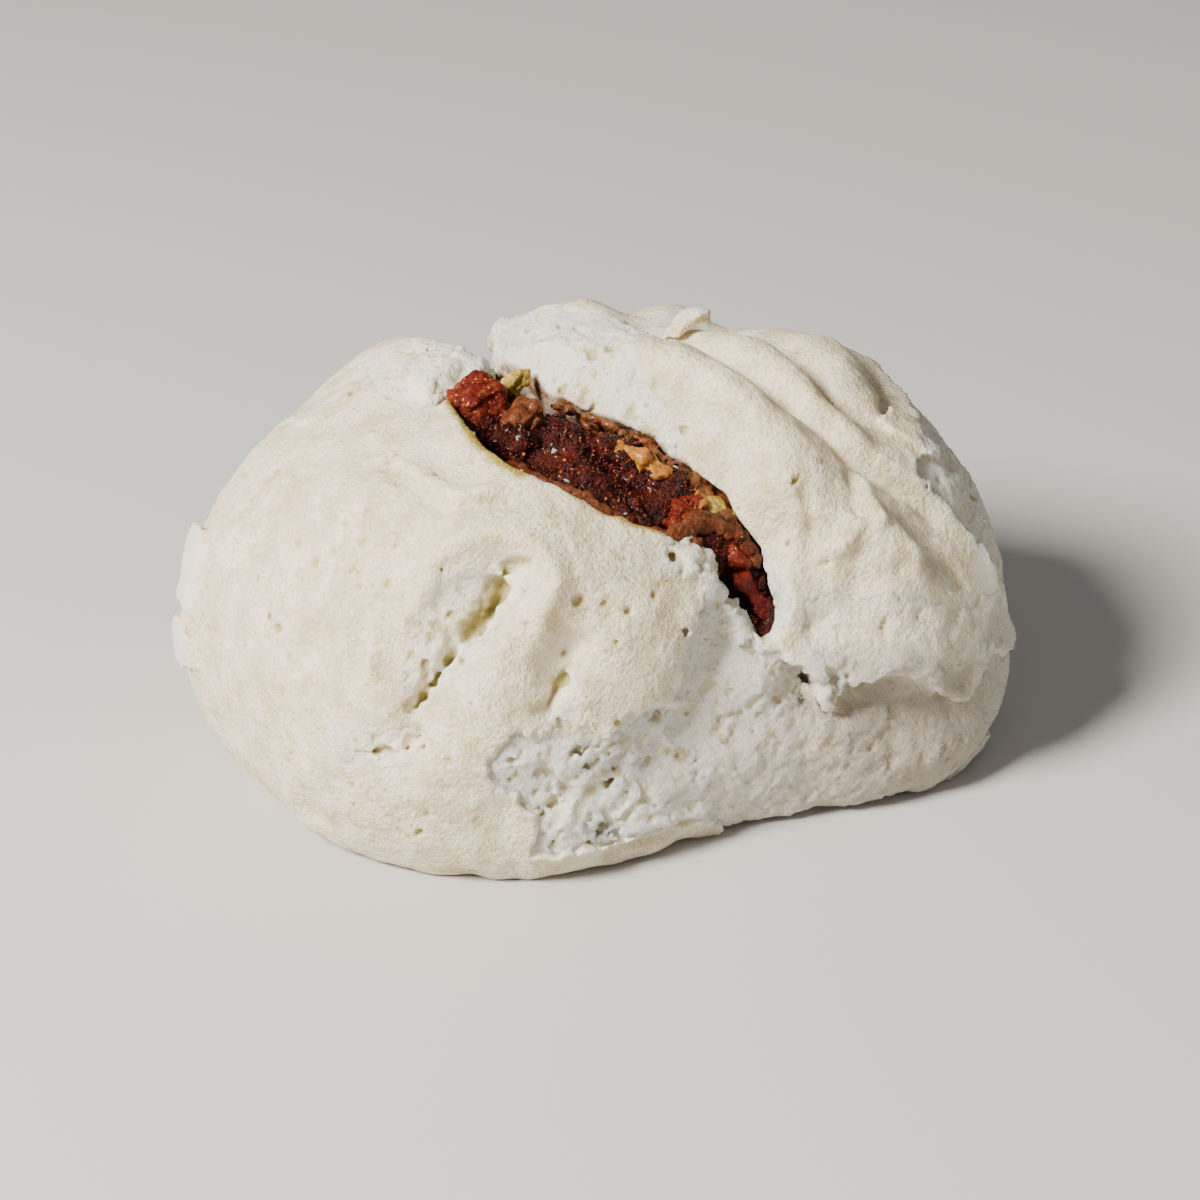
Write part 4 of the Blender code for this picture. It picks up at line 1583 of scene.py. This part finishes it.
def strip(points, width, thickness, seed):
    """Field of a flat strip of meat along a line of places."""
    path = np.array(points, np.float32)
    nearest = np.full(len(heap_places), 9.0, np.float32)
    wavy = heap_places + STRIP_UNEVENNESS * shaken(heap_places, 2.0, seed)
    for start, end in zip(path, path[1:]):
        run = end - start
        middle = (start + end) / 2.0
        up = (middle - CORE) / np.linalg.norm(middle - CORE)
        side = np.cross(run, up)
        side /= np.linalg.norm(side)
        lift = np.cross(side, run)
        lift /= np.linalg.norm(lift)
        share = np.clip((wavy - start) @ run / (run @ run), 0.0, 1.0)
        offset = wavy - start - share[:, None] * run
        along = offset @ (run / np.linalg.norm(run))
        gap = (offset @ side / width) ** 2 + (offset @ lift / thickness) ** 2 + (along / width) ** 2
        nearest = np.minimum(nearest, np.sqrt(gap)).astype(np.float32)
    return (nearest - 0.5) * min(width, thickness) * 1.2

# %% Core of sauce and mince
WALL_NEAR = 0.3
WALL_FAR = 1.8
SWELL = 0.6
HOLLOWS = (
    # Longitude, latitude, depth in millimetres and spread in radians of the dark gaps in the heap.
    (-54, 35, 2.4, 0.09), (-176, 70, 3.4, 0.15), (175, 74, 2.4, 0.12), (-118, 62, 1.0, 0.07),
    (-128, 63, 0.8, 0.06), (-108, 66, 0.8, 0.06),
)

chunks = 1.9 * clumps(heap_places, 4.6, 81) + 0.5 * clumps(heap_places, 2.0, 82)
grit = 0.38 * clumps(heap_places, 1.1, 83) + 0.24 * clumps(heap_places, 0.6, 84)
heap_outward = heap_places - CORE
heap_outward /= np.linalg.norm(heap_outward, axis=1)[:, None]
sunk = np.zeros(len(heap_places), np.float32)
for longitude, latitude, depth, spread in HOLLOWS:
    away = np.linalg.norm(heap_outward - directions([(longitude, latitude)]), axis=1)
    sunk += depth * np.exp(-((away / spread) ** 2))
near_dough = 1.0 - step_up(dough_grid.read(raw_dough, heap_places), WALL_NEAR, WALL_FAR)
core_field = heap_gap + (chunks - 0.2) * (1.0 - 0.8 * near_dough) + grit
core_field = core_field + sunk - SWELL * near_dough
report("voxels round the heap", len(heap_places))

# %% Pork dice, strips, fat and slabs
DICE = (
    # Longitude, latitude, lift, then length, width and height in millimetres, and the turn in degrees.
    (-159, 66.5, -1.9, (5.8, 5.4, 5.2), 20),
    (-60, 52, -2.2, (4.6, 4.0, 4.0), 10),
    (-49, 40, -1.5, (3.4, 3.0, 3.0), 30),
)
FAT = (
    (-58, 60, -0.9, (2.0, 1.6, 2.2), 10),
    (-76, 68, -1.2, (5.4, 2.6, 3.0), -20),
    (-63, 64, -1.2, (4.2, 2.8, 3.0), -35),
    (-51, 61, -0.5, (1.5, 1.3, 2.2), 10),
    (-54, 55, -1.0, (3.2, 2.6, 3.0), -40),
    (-46, 41, -0.8, (2.0, 1.6, 2.4), -40),
)
OLIVE_FAT = (
    (-49, 52, -0.7, (3.0, 2.6, 2.8), 20),
    (-46, 48, -0.6, (2.6, 2.0, 2.4), 50),
    (-166, 74.0, -1.6, (3.4, 1.8, 3.2), 25),
)
STRIPS = (
    # Width and thickness in millimetres, lift, then the line.
    (1.8, 1.4, -0.5, ((-124, 59.5), (-110, 57.5), (-98, 55.5), (-88, 52.5), (-78, 49.5), (-70, 47),
                      (-62, 45))),
    (2.4, 1.8, -0.2, ((-68, 47.5), (-60, 49.5), (-52, 48), (-46.5, 43.5), (-46, 39))),
)
BROWN_DICE = ((-139, 70, -1.9, (5.0, 4.0, 4.0), 40),)
SLABS = (
    # Deep red slabs of sauced meat at the front tip: width, thickness, lift, then the line.
    (3.0, 2.0, -1.0, ((-50, 36), (-46.5, 32), (-46, 28))),
    (1.8, 1.6, -0.9, ((-46, 30), (-46.5, 25), (-47.5, 21))),
)


def blocks(rows, seed):
    return np.minimum.reduce([
        block(on_filling(lon, lat, lift), size, turn, seed + 10 * k)
        for k, (lon, lat, lift, size, turn) in enumerate(rows)
    ])


def lines_of_meat(rows, seed):
    return np.minimum.reduce([
        strip([on_filling(lon, lat, lift) for lon, lat in line], width, thickness, seed)
        for width, thickness, lift, line in rows
    ])


dice_field = blocks(DICE, 101)
fat_field = blocks(FAT, 201)
olive_fat_field = blocks(OLIVE_FAT, 301)
strip_field = lines_of_meat(STRIPS, 401) + 0.30 * clumps(heap_places, 0.9, 411)
strip_field = np.minimum(strip_field, blocks(BROWN_DICE, 601))
slab_field = lines_of_meat(SLABS, 501) + 0.45 * clumps(heap_places, 1.7, 511)
slab_field = slab_field + 0.2 * clumps(heap_places, 0.8, 512)
report("chunks shaped")

# %% Meshes of the filling's pieces
SPECK = 60
CORE_GOAL = 90000
FAR_WARD = np.array((0.67, 0.74))
FAR_FROM = -10.5


def carved_piece(name, field, goal):
    """Mesh object of one kind of thing in the filling."""
    dense = np.full(filling_grid.size, OUTER_BAND, np.float32)
    if name == "sauce_core":
        dense[heap < 0.0] = -OUTER_BAND
    dense[heap_spots] = field
    points, quads = large_sheets(*filling_grid.surface(dense), SPECK)
    return thinned(name, points, quads, goal)


core = carved_piece("sauce_core", core_field, CORE_GOAL)
core_places = point_places(core.data)
# Painted light: the sauce along the far dough wall lies in shade, and this share of it is painted a
# lighter brown.
beside_wall = 1.0 - step_up(dough_grid.read(raw_dough, core_places), 0.3, 1.5)
far_side = step_up(core_places[:, :2] @ FAR_WARD, FAR_FROM, FAR_FROM + 2.0)
away_from_ends = step_up(core_places[:, 0], -9.0, -5.0) * step_up(core_places[:, 2], 31.0, 36.0)
add_attribute(core.data, "painted_wall_light", beside_wall * far_side * away_from_ends)
dice, fat, olive_fat, strips, slabs = [carved_piece(*row) for row in (
    # Name, field and goal of triangles.
    ("pork_dice", dice_field, 30000), ("pork_fat", fat_field, 20000),
    ("olive_fat", olive_fat_field, 16000), ("pork_strips", strip_field, 30000),
    ("sauced_slabs", slab_field, 20000),
)]

# %% [markdown]
# ## Finishes of the filling
#
# Sauce is nearly black where it is deep and red-brown where light comes through it, and it is wet, so
# it glints. The roast pork is redder, with pale specks along its fibres that are partly painted glints,
# and the fat is a clear amber. Along the far dough wall, where the sauce lies in shade, painted light
# makes it a lighter brown.

# %% Meat and sauce
# Painted light for the shaded sauce along the far dough wall.
PAINTED_WALL_LIGHT_COLOUR = (0.17, 0.055, 0.015)
WET = {"Specular IOR Level": 0.14, "Coat Weight": 0.16, "Coat Roughness": 0.08}


def meat_material(name, deep, middle, bright, speck, gloss, clear, size_mm, speck_share):
    """Wet meat: three colours over its lumps, pale specks partly painted as glints, and a clear wet coat.
    """
    material, tree, shader = new_material(name)
    patches = ramp(tree, noise_texture(tree, size_mm, 4.0, 0.65), 0.38, 0.60)
    colour = blend_colours(tree, patches, deep, middle)
    tops = ramp(tree, noise_texture(tree, size_mm * 0.4, 4.0, 0.7), 0.52, 0.70)
    colour = blend_colours(tree, tops, colour, bright)
    # Pale specks: partly fat and fibre, partly painted glints.
    cells = add_node(tree, "ShaderNodeTexVoronoi", Scale=1.0 / (0.45 * MM))
    tree.links.new(tree.nodes.new("ShaderNodeTexCoord").outputs["Object"], cells.inputs["Vector"])
    speck_and_glint_dots = ramp(tree, cells.outputs["Distance"], 0.18, 0.28, 1.0, 0.0)
    some = ramp(tree, noise_texture(tree, 0.7, 2.0), 0.60 - speck_share, 0.66 - speck_share)
    colour = blend_colours(tree, product(tree, speck_and_glint_dots, some), colour, speck)
    # Painted light: a lighter brown where the sauce lies in shade by the far wall.
    colour = blend_colours(tree, attribute(tree, "painted_wall_light"), colour, PAINTED_WALL_LIGHT_COLOUR)
    set_inputs(tree, shader, WET | {
        "Base Color": colour, "Roughness": gloss, "Subsurface Weight": clear,
        "Subsurface Radius": (1.0, 0.25, 0.08), "Subsurface Scale": 0.0009,
    })
    fibres = product(tree, noise_texture(tree, 0.5, 4.0, 0.65), 0.30)
    beads = product(tree, cells.outputs["Distance"], 0.12)
    add_bump(tree, combine(tree, "ADD", fibres, beads), shader)
    return material


FINISHES = (
    # Piece, deep, middle and bright colour, specks (partly painted glints), roughness, clearness, patch
    # size, share of specks.
    (core, (0.007, 0.0004, 0.0002), (0.038, 0.0025, 0.0007), (0.095, 0.009, 0.002),
     (0.45, 0.15, 0.03), 0.45, 0.06, 2.6, -0.04),
    (dice, (0.045, 0.002, 0.001), (0.12, 0.008, 0.002), (0.21, 0.042, 0.008), (0.60, 0.26, 0.06),
     0.42, 0.15, 2.2, 0.08),
    (strips, (0.065, 0.013, 0.004), (0.12, 0.030, 0.009), (0.20, 0.065, 0.018), (0.40, 0.17, 0.05),
     0.5, 0.12, 1.4, -0.05),
    (fat, (0.20, 0.060, 0.009), (0.36, 0.135, 0.020), (0.54, 0.27, 0.050), (0.82, 0.56, 0.20),
     0.35, 0.4, 1.6, 0.0),
    (olive_fat, (0.28, 0.18, 0.028), (0.39, 0.265, 0.05), (0.53, 0.41, 0.11), (0.80, 0.68, 0.34),
     0.35, 0.45, 1.6, 0.04),
    (slabs, (0.060, 0.003, 0.002), (0.13, 0.009, 0.004), (0.21, 0.022, 0.008), (0.50, 0.16, 0.05),
     0.38, 0.15, 2.2, -0.02),
)
for piece, *finish in FINISHES:
    piece.data.materials.clear()
    piece.data.materials.append(meat_material(piece.name + "_finish", *finish))
report("filling finished")

# %% [markdown]
# ## Mince grains
#
# The finest mince lies on the sauce as separate slivers and grains, mostly dark, with a few of a golden
# orange that are painted glints on the fibres. The same node tree that strewed the crumbs strews them,
# and each grain keeps a random number, from which its finish takes a colour.

# %% Grains of mince over the core


def grain_material():
    material, tree, shader = new_material("mince_finish")
    tint = attribute(tree, "tint")
    dark = (0.011, 0.0007, 0.0003)
    colour = blend_colours(tree, ramp(tree, tint, 0.30, 0.85), dark, (0.09, 0.009, 0.002))
    # Painted glints: the few grains with the highest numbers are golden orange.
    colour = blend_colours(tree, ramp(tree, tint, 0.95, 1.0), colour, (0.45, 0.16, 0.03))
    tree.links.new(colour, shader.inputs["Base Color"])
    set_inputs(tree, shader, WET | {"Roughness": 0.4})
    return material


open_top = step_up(dough_grid.read(raw_dough, point_places(core.data)), 0.4, 1.3)
add_attribute(core.data, "loose", open_top)
mince_grains = scattered("mince_grains", core, {
    "Grains per square metre": 4.0e6, "Smallest": 0.10 * MM, "Largest": 0.55 * MM,
    "Raggedness": 0.22 * MM, "Seed": 9, "Finish": grain_material(),
})

# %% [markdown]
# ## Handing over
#
# Every piece now takes the place of the plain solid it was carved from: the pieces of dough stand for
# the dough, and the heap of meat and sauce stands for the filling. All of them ride on the one body.
# The box round the finished bun is measured and printed.

# %% Pieces take the place of the solids
filling_pieces = (core, dice, strips, fat, olive_fat, slabs, mince_grains)
for part_name, pieces in (("dough", (*dough_pieces, *crumbs)), ("filling", filling_pieces)):
    for piece in pieces:
        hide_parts(part_name)
        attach(piece, "root")
visual_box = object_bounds()
report("box in mm", [round((high - low) / MM, 1) for low, high in zip(*visual_box)])
